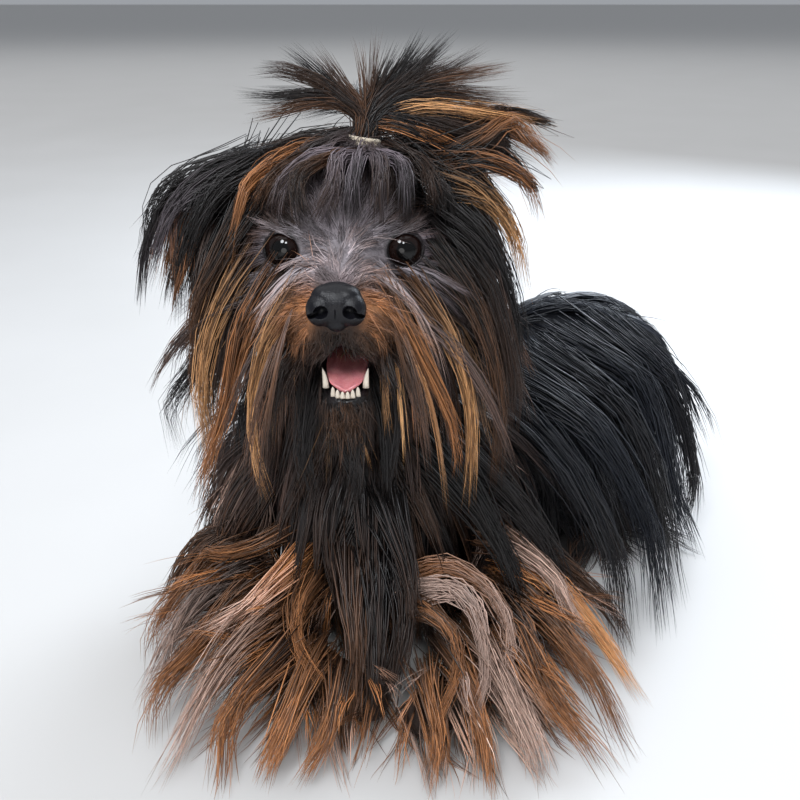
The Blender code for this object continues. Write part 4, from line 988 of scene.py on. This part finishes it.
class Hide:
    """The skin as the coat sees it: a search tree, and roots drawn evenly from its surface."""

    def __init__(self):
        if "skin" not in bpy.data.objects:
            raise RuntimeError("The coat grows from the skin: build the skin first")
        mesh = bpy.data.objects["skin"].data
        self.points = corners_of(mesh)
        corners = np.empty(len(mesh.polygons) * 3, int)
        mesh.polygons.foreach_get("vertices", corners)
        self.faces = corners.reshape(-1, 3)
        self.on_ear = self.faces.min(1) >= mesh["body_points"]
        whole = ~self.on_ear
        self.tree = BVHTree.FromPolygons(self.points.tolist(), self.faces[whole].tolist())
        self.with_ears = BVHTree.FromPolygons(self.points.tolist(), self.faces.tolist())
        a, b, c = (self.points[self.faces[:, k]] for k in range(3))
        cross = np.cross(b - a, c - a)
        self.area = np.linalg.norm(cross, axis=1) / 2
        self.normal = cross / (2 * self.area[:, None] + 1e-15)
        maps = mesh.uv_layers.get("Unwrap") or self.unwrap(mesh)
        flat = np.empty(len(mesh.loops) * 2)
        maps.data.foreach_get("uv", flat)
        self.uv = flat.reshape(-1, 3, 2)

    def unwrap(self, mesh):
        """Unwraps the skin by its own shape."""
        skin = bpy.data.objects["skin"]
        mesh.uv_layers.new(name="Unwrap")
        bpy.context.view_layer.objects.active = skin
        skin.select_set(True)
        bpy.ops.object.mode_set(mode="EDIT")
        bpy.ops.mesh.select_all(action="SELECT")
        bpy.ops.uv.smart_project(angle_limit=math.radians(66), island_margin=0.002)
        bpy.ops.object.mode_set(mode="OBJECT")
        skin.select_set(False)
        return mesh.uv_layers["Unwrap"]

    def roots(self, count, weight, rng):
        """Places on the faces, drawn by area times weight: their place, normal and place on the unwrap."""
        share = self.area * weight
        picked = rng.choice(len(share), count, p=share / share.sum())
        u, v = rng.random(count), rng.random(count)
        over = u + v > 1
        u[over], v[over] = 1 - u[over], 1 - v[over]
        blend = np.stack([1 - u - v, u, v], 1)
        places = (self.points[self.faces[picked]] * blend[:, :, None]).sum(1)
        flat = (self.uv[picked] * blend[:, :, None]).sum(1)
        return places, self.normal[picked], flat

    def weights(self, part, rows):
        """How thickly a part of the coat grows on each face."""
        if part == "ear":
            return self.on_ear.astype(float)
        where = in_mm(self.points[self.faces].mean(1))
        names = np.array([row[0] for row in rows])
        nearest = blended_rows(rows, where)[-1]
        grows = (names[nearest] == part) & ~self.on_ear & (where[:, 2] > UNDERSIDE)
        if part in ("face", "fuzz"):
            grows &= ~(in_box(where, *MOUTH_BARE) | in_box(where, *NOSE_BARE))
            for side in (-1, 1):
                grows &= np.linalg.norm(where - in_mm(eye_centre(side)), axis=1) >= EYE_BARE
        return grows.astype(float)


def spaced(places, spacing):
    """Which of the places to keep so that few stand closer than the spacing."""
    kept, cells = [], {}
    for i, cell in enumerate(map(tuple, np.floor(places / spacing).astype(int))):
        near = (
            j
            for dx in (-1, 0, 1)
            for dy in (-1, 0, 1)
            for dz in (-1, 0, 1)
            for j in cells.get((cell[0] + dx, cell[1] + dy, cell[2] + dz), ())
        )
        if all(((places[i] - places[j]) ** 2).sum() > spacing**2 for j in near):
            cells.setdefault(cell, []).append(i)
            kept.append(i)
    return np.array(kept)


def combed(root, normal, way, length, droop, curl, lift, tree, steps):
    """The path of a lock that lies along the skin, hangs under its weight and stops at the floor."""
    path = [root]
    point = root
    step = length / steps
    way = (way - normal * way.dot(normal) * 0.8).normalized()
    for k in range(steps):
        turn = Matrix.Rotation(curl * math.cos(k * 1.3), 3, normal)
        way = turn @ way
        point = point + way * step
        near, flat, _, _ = tree.find_nearest(point)
        rise = lift * min(1, (k + 1) / 2)
        if (point - near).dot(flat) < rise:
            point = near + flat * rise
        if point.z < FLOOR * MM + lift * 0.3:
            point = Vector((point.x, point.y, FLOOR * MM + lift * 0.3))
        way = ((point - path[-1]).normalized() + DOWN * droop * 0.4).normalized()
        path.append(point)
    return path


def drawn_up(root, lift, tree, steps):
    """The path of a forehead lock, which domes over the skull up to the band."""
    path = [root]
    for k in range(1, steps + 1):
        point = root.lerp(BAND_PLACE, k / steps)
        near, flat, _, _ = tree.find_nearest(point)
        ride = lift * 1.6 * math.sin(math.pi * (k / steps) ** 0.8) + 0.6 * MM
        path.append(near + flat * max(ride, (point - near).dot(flat)))
    return path


def is_forelock(point):
    """Whether the hair at a place, in millimetres, is drawn up into the band."""
    return point[2] > 193 + abs(point[0]) * 0.15 and abs(point[0]) < 29 and -2 < point[1] < 50


def strands_mesh(name, paths, facings, widths, flat, root_tint, tip_tint, chance):
    """Thin three-sided strands, each a closed body from its root to its point."""
    count, rings = paths.shape[0], paths.shape[1] - 1
    along = np.empty_like(paths)
    along[:, 1:-1] = paths[:, 2:] - paths[:, :-2]
    along[:, 0] = paths[:, 1] - paths[:, 0]
    along[:, -1] = paths[:, -1] - paths[:, -2]
    across = np.cross(along, facings)
    across /= np.linalg.norm(across, axis=2, keepdims=True) + 1e-12
    out = np.cross(across, along)
    out /= np.linalg.norm(out, axis=2, keepdims=True) + 1e-12
    t = np.linspace(0, 1, rings + 1)
    taper = (1 - t**2.2) * (0.55 + 0.45 * np.minimum(1, 4 * t)) + 0.04
    wide = widths[:, None, None] * taper[None, :, None]
    left = paths - across * wide / 2
    right = paths + across * wide / 2
    top = paths + out * wide * 0.45
    body = np.stack([left, right, top], 2)[:, :rings]
    points = np.concatenate([body.reshape(count, rings * 3, 3), paths[:, -1:]], 1)
    each = rings * 3 + 1
    faces = [(0, 2, 1)]
    for a in range(0, 3 * rings - 3, 3):
        for k, j in ((0, 1), (1, 2), (2, 0)):
            faces += [(a + k, a + j, a + 3 + j), (a + k, a + 3 + j, a + 3 + k)]
    last = 3 * rings - 3
    faces += [(last + k, last + (k + 1) % 3, each - 1) for k in range(3)]
    corner = ((np.arange(count) * each)[:, None, None] + np.array(faces)[None]).reshape(-1)
    mesh = bpy.data.meshes.new(name)
    mesh.vertices.add(count * each)
    mesh.vertices.foreach_set("co", points.reshape(-1))
    mesh.loops.add(len(corner))
    mesh.loops.foreach_set("vertex_index", corner)
    mesh.polygons.add(len(corner) // 3)
    mesh.polygons.foreach_set("loop_start", np.arange(0, len(corner), 3))
    mesh.update(calc_edges=True)
    side = np.array([*([0.0, 1.0, 0.5] * rings), 0.5])
    level = np.array([*np.repeat(t[:rings], 3), 1.0])
    patch = np.stack([side - 0.5, level - 0.5], 1) * BAKE_PATCH
    spread = (flat[:, None, :] + patch[None]).reshape(-1, 2)
    mesh.uv_layers.new(name="OFBake").data.foreach_set("uv", spread[corner].reshape(-1))
    keep_number(mesh, "along", np.tile(level, count))
    keep_number(mesh, "chance", np.repeat(chance, each))
    keep_colour(mesh, "root_tint", np.repeat(root_tint, each, 0))
    keep_colour(mesh, "tip_tint", np.repeat(tip_tint, each, 0))
    return mesh


def clear_of_face(paths):
    """Which strands leave the eyes, the nose and the open mouth in view."""
    where = in_mm(paths[:, 1:])
    clear = ~(in_box(where, *NOSE_VIEW) | in_box(where, *MOUTH_VIEW)).any(1)
    for side in (-1, 1):
        front = in_mm(eye_centre(side) + eye_axis(side) * EYE_VIEW_PLACE * MM)
        clear &= (np.linalg.norm(where - front, axis=2) > EYE_VIEW).all(1)
    return clear


def walked(lanes, shares):
    """The places at the given shares of each lane's length."""
    last = lanes.shape[1] - 1
    at = np.clip(shares, 0, 1) * last
    low = np.minimum(at.astype(int), last - 1)
    part_way = (at - low)[..., None]
    lane = np.arange(len(lanes))[:, None]
    return lanes[lane, low] * (1 - part_way) + lanes[lane, low + 1] * part_way


def toned(root_tint, tip_tint, owner, streaked, streak_tint, rng):
    """The colours with each lock a little lighter or darker, and some locks streaked."""
    locks = len(streaked)
    spread, darkest, lightest = LOCK_TONES
    tone = np.clip(np.exp(rng.normal(0, spread, locks)), darkest, lightest)[owner, None]
    streak = ((rng.random(locks) < streaked) * rng.uniform(0.4, 0.9, locks))[owner, None]
    tip_tint = tip_tint * (1 - streak) + np.array(streak_tint) * streak
    root_tint = root_tint * (1 - streak * 0.5) + np.array(streak_tint) * streak * 0.5
    return np.minimum(root_tint * tone, 0.8), np.minimum(tip_tint * tone, 0.8)


def laid(points, count, root_spread, tip_spread, tints, part, hide, rng, shortest=LAID_SHORTEST):
    """One lock laid along given places, as strands that start apart and draw together."""
    _, steps, _, width, *_ = COATS[part]
    points = np.array(points, float)
    sway = rng.normal(0, 1, 3) * np.linalg.norm(points[-1] - points[0]) * LAID_SWAY
    phase = rng.uniform(0, 2 * math.pi)
    bend = np.linspace(0, 1, LAID_SAMPLES)[:, None]
    fine = np.array(smooth_path(points, LAID_SAMPLES)) + sway * np.sin(bend * 8 + phase) * bend
    fine = fine * MM + np.array(ORIGIN)
    t = np.linspace(0, 1, steps + 1)
    lanes = np.broadcast_to(fine, (count, LAID_SAMPLES, 3))
    path = walked(lanes, t[None] * rng.uniform(shortest, LAID_LONGEST, count)[:, None])
    start = rng.normal(0, 0.8, (count, 1, 3)) * root_spread * MM
    end = np.clip(rng.normal(0, 0.5, (count, 1, 3)), -0.9, 0.9) * tip_spread * MM
    fade = (t**0.8)[None, :, None]
    wave = rng.normal(0, 1, (count, 1, 3)) * np.sin(t * 7 + 1)[None, :, None] * t[None, :, None] * 0.5 * MM
    path = path + start * (1 - fade) + end * fade * (0.4 + 0.6 * t[None, :, None]) + wave
    path[:, 1:, 2] = np.maximum(path[:, 1:, 2], ORIGIN.z + FLOOR * MM)
    _, out, index, _ = hide.with_ears.find_nearest(Vector(fine[0]))
    facing = np.tile(np.array(out) + np.array([0, -0.5, 0.5]), (count, steps + 1, 1))
    facing += rng.normal(0, 0.25, (count, 1, 3))
    flat = hide.uv[index].mean(0) + rng.uniform(-1, 1, (count, 2)) * BAKE_PATCH * 2
    widths = width * MM * rng.uniform(*WIDTHS, count)
    tone = math.exp(rng.normal(0, 0.15))
    tints = [np.tile(np.array(tint) * tone, (count, 1)) for tint in tints]
    return [path, facing, widths, flat, *tints, rng.random(count)]


def with_laid(part, strands, hide, rng, density):
    """Adds the listed locks to a part of the coat."""
    every = [strands]
    for points, count, root_spread, tip_spread, *tints in LAID_LOCKS.get(part, ()):
        lock = laid(points, int(count * density), root_spread, tip_spread, tints, part, hide, rng)
        keep = clear_of_face(lock[0]) if part == "face" else np.ones(len(lock[0]), bool)
        every.append([a[keep] for a in lock])
    return [np.concatenate(arrays) for arrays in zip(*every)]


def coat_part(part, hide, rows, rng, density):
    """Grows one part of the coat: locks first, then strands that follow their nearest lock."""
    count, steps, spacing, width, draw, lifts, (streaked, streak_tint) = COATS[part]
    count = int(count * density)
    weight = hide.weights(part, rows)
    tree = hide.tree
    if part == "ear":
        rows, tree = EAR_ROWS, hide.with_ears
    root, normal, _ = hide.roots(LOCK_TRIALS, weight, rng)
    kept = spaced(root, spacing * MM)
    root, normal = root[kept], normal[kept]
    way, length, droop, _, _, _ = blended_rows(rows, in_mm(root))
    guides = []
    for i in range(len(root)):
        lift = rng.uniform(*lifts) * MM
        start, out = Vector(root[i]), Vector(normal[i])
        if part in ("face", "fuzz") and is_forelock(in_mm(root[i])):
            guides.append(drawn_up(start, lift, tree, steps))
            continue
        comb_way = (Vector(way[i]) + Vector(rng.normal(0, 0.13, 3))).normalized()
        reach = length[i] * rng.uniform(*LOCK_REACHES) * MM
        curl = rng.normal(0, math.radians(9))
        guides.append(combed(start, out, comb_way, reach, droop[i], curl, lift, tree, steps))
    guides = np.array([[tuple(point) for point in guide] for guide in guides])
    nearest = KDTree(len(root))
    for i, point in enumerate(root):
        nearest.insert(point, i)
    nearest.balance()
    root, normal, flat = hide.roots(count, weight, rng)
    owner = np.array([nearest.find(point)[1] for point in root])
    t = np.linspace(0, 1, steps + 1)
    path = walked(guides[owner], t[None] * rng.uniform(*STRAND_REACHES, count)[:, None])
    stray = (rng.random(count) < STRAY_SHARE)[:, None, None]
    pull = np.where(stray, STRAY_DRAW, draw) * (t**1.1)[None, :, None]
    path = path + (root - guides[owner, 0])[:, None, :] * (1 - pull)
    wave = rng.normal(0, 1, (count, 1, 3)) * np.sin(t * 7 + 1)[None, :, None] * 0.35 * MM
    reach = (t**1.5)[None, :, None] * np.where(stray, STRAY_SCATTER, SCATTER) * MM
    path = path + wave * t[None, :, None] + rng.normal(0, 1, (count, 1, 3)) * reach
    path[:, 0] = root - normal * ROOT_DEPTH * MM
    path[:, 1:, 2] = np.maximum(path[:, 1:, 2], ORIGIN.z + FLOOR * MM)
    facing = np.repeat(normal[:, None, :], steps + 1, 1)
    facing[:, 1:] += np.array([0, -0.4, 0.5]) * t[None, 1:, None]
    chance = rng.random(count)
    widths = width * MM * rng.uniform(*WIDTHS, count)
    _, length, _, root_tint, tip_tint, _ = blended_rows(rows, in_mm(root))
    widths *= 1 if part == "fuzz" else np.clip(0.45 + length / 70, 0.45, 1.1)
    plain = np.array([is_forelock(point) or point[1] > 38 for point in in_mm(guides[:, 0])])
    root_tint, tip_tint = toned(root_tint, tip_tint, owner, streaked * ~plain, streak_tint, rng)
    keep = clear_of_face(path) if part in ("fuzz", "face", "ear") else np.ones(count, bool)
    return [a[keep] for a in (path, facing, widths, flat, root_tint, tip_tint, chance)]


def show_coat(part, strands, slot, stands_for=()):
    """Adds a part of the coat as pieces that each stay small enough to bake."""
    each = 6 * (strands[0].shape[1] - 2) + 4
    pieces = math.ceil(len(strands[0]) * each / PIECE_LIMIT)
    order = np.argsort(strands[0][:, 0, 0], kind="stable")
    for k, chunk in enumerate(np.array_split(order, pieces)):
        name = f"coat_{part}_{k + 1}" if pieces > 1 else f"coat_{part}"
        mesh = strands_mesh(name, *[a[chunk] for a in strands])
        show(name, mesh, hair(), slot, *(stands_for if k == 0 else ()))


def hair():
    """The one material of all the hair."""
    return bpy.data.materials.get("coat_hair") or coat_material()


class TERRIER_OT_coat(bpy.types.Operator):
    """Grows the coat of the head, body, legs and tail in combed locks."""

    bl_idname = "terrier.coat"
    bl_label = "Coat"

    def execute(self, context):
        hide = Hide()
        rows = all_rows()
        density = context.scene.terrier_sizes.density
        slots = {"fuzz": "face_coat", "face": "face_coat", "foreleg": "tan_coat", "ear": "face_coat"}
        for i, part in enumerate(name for name in COATS if name != "topknot"):
            rng = np.random.default_rng([SEED, i])
            strands = with_laid(part, coat_part(part, hide, rows, rng, density), hide, rng, density)
            show_coat(part, strands, slots.get(part, "dark_coat"))
        return {"FINISHED"}


class TERRIER_OT_topknot(bpy.types.Operator):
    """Fans out the free ends of the forelock above the band."""

    bl_idname = "terrier.topknot"
    bl_label = "Topknot"

    def execute(self, context):
        rng = np.random.default_rng([SEED, 99])
        density = context.scene.terrier_sizes.density
        hide = Hide()
        foot = Vector(BAND_PLACE_MM) - BAND_AXIS * 3
        crown = Vector(BAND_PLACE_MM) + BAND_AXIS * 9
        parts = []
        for tip, count, spread, *tints in TOPKNOT_TIPS_MM:
            tip = Vector(tip)
            bend = crown.lerp(tip, 0.42) + Vector((0, 0, 5 if tip.z < 245 else 1))
            points = [tuple(foot), tuple(crown.lerp(tip, 0.06)), tuple(bend), tuple(tip)]
            count = int(count * density * TOPKNOT_FULLNESS)
            spreads = (TOPKNOT_ROOT_SPREAD, spread * TOPKNOT_TIP_SPREAD)
            parts.append(laid(points, count, *spreads, tints, "topknot", hide, rng, TOPKNOT_SHORTEST))
        strands = [np.concatenate(arrays) for arrays in zip(*parts)]
        show_coat("topknot", strands, "face_coat", ("topknot",))
        return {"FINISHED"}


def eye_material():
    """A dark brown eye behind clear wet gloss."""
    fixed = {"Specular_IOR_Level": 0.3, "IOR": 1.38, "Coat_Roughness": 0.02, "Coat_IOR": 1.3}
    paint = Paint("eye_dark_brown", **fixed)
    out = paint.value("off_axis")
    fibres = paint.noise(1500, 2.0)
    iris = paint.mixed(fibres, (0.004, 0.002, 0.002), chosen("eye_colour"))
    iris = paint.mixed(paint.level(out, 0.38, 0.45), (0.002, 0.002, 0.002), iris)
    rim = paint.level(out + fibres * 0.05, 0.80, 0.92)
    base = paint.mixed(rim, iris, (0.006, 0.005, 0.006))
    rough = paint.level(rim, 0, 1, 0.04, 0.16)
    return paint.feed(Base_Color=base, Roughness=rough, Coat_Weight=paint.level(rim, 0, 1, 0.5, 0.2))


class TERRIER_OT_eyes(bpy.types.Operator):
    """Makes the eyes, each with its clear front."""

    bl_idname = "terrier.eyes"
    bl_label = "Eyes"

    def execute(self, context):
        material = eye_material()
        for name, side in (("left", 1), ("right", -1)):
            bm = bmesh.new()
            bmesh.ops.create_uvsphere(bm, u_segments=48, v_segments=36, radius=EYE_RADIUS)
            turn = eye_axis(side).to_track_quat("Z", "Y").to_matrix().to_4x4()
            off_axis = []
            for vert in bm.verts:
                off = math.hypot(vert.co.x, vert.co.y) / EYE_RADIUS if vert.co.z > 0 else 1.0
                off_axis.append(off)
                if off < CLEAR_FRONT_REACH:
                    vert.co.z += CLEAR_FRONT * MM * (1 - (off / CLEAR_FRONT_REACH) ** 2)
            bmesh.ops.transform(bm, matrix=Matrix.Translation(eye_centre(side)) @ turn, verts=bm.verts)
            mesh = mesh_of(bm, "eye")
            keep_number(mesh, "off_axis", off_axis)
            show("eyeball_" + name, mesh, material, "eye", "eye_" + name)
        return {"FINISHED"}


def nose_material():
    """Black pebbled leather, damp, and glossier in patches."""
    paint = Paint("nose_leather", Specular_IOR_Level=0.26)
    sockets = {"Vector": paint.object_place(), "Scale": 1300.0}
    cells = paint.node("ShaderNodeTexVoronoi", {"feature": "DISTANCE_TO_EDGE"}, sockets)[0]
    patch = paint.noise(220, 3.0)
    base = paint.mixed(patch, (0.003, 0.003, 0.005), chosen("nose_colour"))
    # painted shade: the grooves between the pebbles are darker
    base = paint.mixed(paint.level(cells, 0.0, 0.12), (0.003, 0.003, 0.004), base)
    rough = paint.level(patch, 0.3, 0.7, 0.28, 0.42)
    pebbles = paint.level(cells, 0.0, 0.25)
    return paint.feed(Base_Color=base, Roughness=rough, Normal=paint.bump(pebbles, 0.22, 0.0002))


class TERRIER_OT_nose(bpy.types.Operator):
    """Models the leather of the nose, with its wings, nostrils and middle groove."""

    bl_idname = "terrier.nose"
    bl_label = "Nose"

    def execute(self, context):
        width = context.scene.terrier_sizes.nose_width / MM
        front = -MUZZLE_LENGTH
        centre = NOSE_HEIGHT
        pieces = [ball(head_place(0, front - 5, centre), (width / 2, 7.4, 7.9), LEVEL)]
        for side in (-1, 1):
            pieces.append(ball(head_place(side * 5.3, front - 7.6, centre - 1), (4.8, 5, 5.6), LEVEL))
            pieces.append(ball(head_place(side * 3.2, front - 6.2, centre + 3), (5.2, 5.0, 4.2), LEVEL))
        pieces.append(ball(head_place(0, front - 6.0, centre - 5), (3.8, 4.8, 3.8), LEVEL))
        nose = melted(pieces, 0.4, 8)
        cuts = []
        for side in (-1, 1):
            slant = Matrix.Rotation(side * math.radians(24), 3, "Y") @ LEVEL
            cuts.append(ball(head_place(side * 4.8, front - 12.2, centre - 1.2), (2.5, 4.4, 2.2), slant))
            cuts.append(ball(head_place(side * 7.7, front - 10.8, centre - 2.4), (2.9, 3.5, 0.9), slant))
        cuts.append(ball(head_place(0, front - 12.9, centre - 4.5), (0.35, 1.6, 5), LEVEL))
        boolean(nose, cuts, "DIFFERENCE")
        soften = nose.modifiers.new("soften", "SMOOTH")
        soften.iterations = 2
        applied(nose)
        show("nose_leather", in_order(taken(nose)), nose_material(), "nose_leather", "nose")
        return {"FINISHED"}


def tongue_material():
    """Wet pink flesh with fine papillae."""
    fixed = {"Subsurface_Weight": 0.15, "Subsurface_Scale": 0.004, "Specular_IOR_Level": 0.6}
    paint = Paint("tongue_wet", **fixed)
    patch = paint.noise(260, 3.0)
    grain = paint.noise(2200, 2.0)
    base = paint.mixed(patch, (0.62, 0.14, 0.17), chosen("tongue_colour"))
    rough = paint.level(grain, 0.3, 0.7, 0.22, 0.42)
    return paint.feed(Base_Color=base, Roughness=rough, Normal=paint.bump(grain, 0.35, 0.0003))


def tooth_material():
    """Ivory, darker and yellower towards the gum."""
    paint = Paint("tooth_ivory", Specular_IOR_Level=0.55)
    up = paint.value("along")
    patch = paint.noise(500, 2.0)
    ivory = paint.level(up + patch * 0.2, 0.1, 0.8)
    base = paint.mixed(ivory, (0.40, 0.27, 0.20), (0.66, 0.58, 0.48))
    return paint.feed(Base_Color=base, Roughness=paint.level(patch, 0.3, 0.7, 0.18, 0.32))


class TERRIER_OT_mouth(bpy.types.Operator):
    """Lays the tongue in the lower jaw and sets the lower teeth in front of it."""

    bl_idname = "terrier.mouth"
    bl_label = "Mouth"

    def execute(self, context):
        sections = [(x + MOUTH_OFFSET, *rest) for x, *rest in TONGUE]
        rows = smooth_path(sections, TONGUE_LOOPS)
        bm = bmesh.new()
        loops = []
        for i, (x, y, z, half) in enumerate(rows):
            thick = 2.0 * (1 - 0.45 * i / (len(rows) - 1))
            loop = []
            for k in range(TONGUE_SIDES):
                a = 2 * math.pi * k / TONGUE_SIDES
                across, up = math.cos(a), math.sin(a)
                dip = -1.2 * math.exp(-((across * 2.6) ** 2)) if up > 0 else 0
                lift = up * thick + dip + 1.6 * across * across
                loop.append(bm.verts.new(head_place(x + across * half, y, z + lift)))
            loops.append(loop)
        tongue = hold(bridged(bm, loops))
        show("tongue_flesh", taken(tongue), tongue_material(), "tongue", "tongue")
        self.teeth()
        return {"FINISHED"}

    def teeth(self):
        """Six small incisors between two canines."""
        bm = bmesh.new()
        feet = []
        for side in (-1, 1):
            feet.append((side * 7.1, -29.8, -45.5, 1.15, 7.6, side * 1.0))
            for k in range(3):
                feet.append((side * (0.9 + 1.75 * k), -34.6 + 0.6 * k * k, -48.0, 0.9, 2.9 + 0.5 * k, 0))
        for x, y, z, radius, height, lean in feet:
            loops = []
            for i in range(TOOTH_LOOPS):
                t = i / (TOOTH_LOOPS - 1)
                wide = radius * (1 - t**1.6) ** (0.75 if lean else 0.5) + 0.04
                loop = []
                for k in range(TOOTH_SIDES):
                    a = 2 * math.pi * k / TOOTH_SIDES
                    across = MOUTH_OFFSET + x + lean * t * t + math.cos(a) * wide
                    along = y - 1.2 * t + math.sin(a) * wide * 0.7
                    loop.append(bm.verts.new(head_place(across, along, z + height * t)))
                loops.append(loop)
            bridged(bm, loops)
        mesh = taken(hold(bm))
        up = (in_mm(corners_of(mesh))[:, 2] - EYE_HEIGHT / MM + 44) / 10 + 0.5
        keep_number(mesh, "along", np.clip(up, 0, 1))
        show("lower_teeth", mesh, tooth_material(), "tongue")


def band_material():
    """Cream elastic wound with thread."""
    paint = Paint("elastic_thread", Specular_IOR_Level=0.3, Sheen_Weight=0.3)
    settings = {"wave_type": "BANDS", "bands_direction": "Z"}
    sockets = {"Vector": paint.object_place(), "Scale": 700.0, "Distortion": 3.0}
    thread = paint.node("ShaderNodeTexWave", settings, sockets)[1]
    wear = paint.noise(700, 3.0)
    # painted shade in the grooves between the threads, where the wave is low, mixed with random wear
    base = paint.mixed(thread * 0.6 + wear * 0.4, (0.50, 0.40, 0.29), chosen("band_colour"))
    rough = paint.level(wear, 0.3, 0.7, 0.55, 0.8)
    return paint.feed(Base_Color=base, Roughness=rough, Normal=paint.bump(thread, 0.5, 0.0003))


class TERRIER_OT_band(bpy.types.Operator):
    """Winds the elastic band round the forelock."""

    bl_idname = "terrier.band"
    bl_label = "Hair band"

    def execute(self, context):
        turns = []
        for up in (-BAND_OFFSET, BAND_OFFSET):
            centre = BAND_PLACE + BAND_AXIS * up * MM
            turns.append(ring(centre, BAND_AXIS, BAND_RADIUS, BAND_THREAD, 72, 10, 24, 0.12))
        show("elastic_band", taken(gathered_up(turns)), band_material(), "elastic", "hair_band")
        return {"FINISHED"}


# The camera is placed in millimetres from the floor under the eyes, as the photograph was taken
CAMERA_PLACE_MM = (21, -314, 264)
CAMERA_PITCH = math.radians(25)
CAMERA_VIEW = math.radians(50)
LIGHTS_AIM_MM = (30, 20, 110)
# Name, place in millimetres, diameter in metres, power in watts and tint
LIGHTS = (
    ("sky", (-200, 1200, 4000), 8, 150, (1.0, 1.0, 1.0)),
    ("key", (-200, -520, 820), 0.24, 4.6, (0.93, 0.96, 1.0)),
    ("rim", (600, 800, 700), 0.7, 14, (0.82, 0.90, 1.0)),
    ("front", (110, -680, 820), 0.16, 2.2, (0.93, 0.96, 1.0)),
    ("low", (-60, -900, 160), 0.5, 1.6, (1.0, 0.98, 0.96)),
)


def floor_material():
    """Matt pale board, faintly mottled."""
    paint = Paint("pale_floor", Specular_IOR_Level=0.2)
    patch = paint.noise(6, 3.0)
    base = paint.mixed(patch, (0.56, 0.555, 0.545), (0.61, 0.605, 0.60))
    return paint.feed(Base_Color=base, Roughness=paint.level(patch, 0.3, 0.7, 0.6, 0.7))


class TERRIER_OT_stage(bpy.types.Operator):
    """Sets the floor, the soft studio light and the camera."""

    bl_idname = "terrier.stage"
    bl_label = "Stage"

    def execute(self, context):
        scene = context.scene
        bm = bmesh.new()
        bmesh.ops.create_grid(bm, x_segments=2, y_segments=2, size=60)
        floor = hold(bm, "floor")
        floor.data.materials.append(floor_material())
        world = bpy.data.worlds.new("studio")
        world.use_nodes = True
        background = world.node_tree.nodes["Background"]
        background.inputs["Color"].default_value = (0.80, 0.84, 0.90, 1)
        background.inputs["Strength"].default_value = 0.42
        scene.world = world
        for name, where, size, power, tint in LIGHTS:
            data = bpy.data.lights.new(name, "AREA")
            data.shape, data.size, data.energy, data.color = "DISK", size, power, tint
            lamp = bpy.data.objects.new(name, data)
            lamp.location = place(*where)
            aim = place(*LIGHTS_AIM_MM) - lamp.location
            lamp.rotation_euler = aim.to_track_quat("-Z", "Y").to_euler()
            scene.collection.objects.link(lamp)
        data = bpy.data.cameras.new("camera")
        data.angle = CAMERA_VIEW
        data.clip_start = 0.01
        camera = bpy.data.objects.new("camera", data)
        camera.location = place(*CAMERA_PLACE_MM)
        camera.rotation_euler = (math.pi / 2 - CAMERA_PITCH, 0, 0)
        scene.collection.objects.link(camera)
        scene.camera = camera
        scene.view_settings.view_transform = "Standard"
        return {"FINISHED"}


class TerrierSizes(bpy.types.PropertyGroup):
    """Colours and sizes that a user would change."""

    coat_tone: bpy.props.FloatVectorProperty(
        name="Coat tone",
        description="Colour that the coat's own colours are multiplied by",
        default=(1.0, 1.0, 1.0),
        subtype="COLOR",
    )
    eye_colour: bpy.props.FloatVectorProperty(
        name="Eye colour",
        description="Colour of the iris",
        default=(0.016, 0.007, 0.005),
        subtype="COLOR",
    )
    nose_colour: bpy.props.FloatVectorProperty(
        name="Nose colour",
        description="Colour of the nose leather",
        default=(0.009, 0.009, 0.012),
        subtype="COLOR",
    )
    tongue_colour: bpy.props.FloatVectorProperty(
        name="Tongue colour",
        description="Lighter colour of the tongue",
        default=(0.85, 0.38, 0.38),
        subtype="COLOR",
    )
    band_colour: bpy.props.FloatVectorProperty(
        name="Band colour",
        description="Colour of the elastic band",
        default=(0.80, 0.72, 0.58),
        subtype="COLOR",
    )
    skin_grain: bpy.props.FloatProperty(
        name="Skin grain", description="Fineness of the skin mesh", default=0.002, unit="LENGTH"
    )
    nose_width: bpy.props.FloatProperty(
        name="Nose width", description="Width of the nose leather", default=0.0185, unit="LENGTH"
    )
    density: bpy.props.FloatProperty(
        name="Coat density", description="Share of the full number of strands", default=1.0, subtype="FACTOR"
    )


OPERATORS = (
    TERRIER_OT_skin,
    TERRIER_OT_coat,
    TERRIER_OT_topknot,
    TERRIER_OT_eyes,
    TERRIER_OT_nose,
    TERRIER_OT_mouth,
    TERRIER_OT_band,
    TERRIER_OT_stage,
)


class TERRIER_PT_pieces(bpy.types.Panel):
    """Lists the pieces of the terrier."""

    bl_label = "Terrier"
    bl_idname = "TERRIER_PT_pieces"
    bl_space_type = "VIEW_3D"
    bl_region_type = "UI"
    bl_category = "Terrier"

    def draw(self, context):
        for name in TerrierSizes.__annotations__:
            self.layout.prop(context.scene.terrier_sizes, name)
        for operator in OPERATORS:
            self.layout.operator(operator.bl_idname)


def register():
    for made in (TerrierSizes, *OPERATORS, TERRIER_PT_pieces):
        bpy.utils.register_class(made)
    bpy.types.Scene.terrier_sizes = bpy.props.PointerProperty(type=TerrierSizes)


def unregister():
    del bpy.types.Scene.terrier_sizes
    for made in reversed((TerrierSizes, *OPERATORS, TERRIER_PT_pieces)):
        bpy.utils.unregister_class(made)


def main():
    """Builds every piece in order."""
    register()
    for operator in OPERATORS:
        group, name = operator.bl_idname.split(".")
        getattr(getattr(bpy.ops, group), name)()


if __name__ == "__main__":
    main()
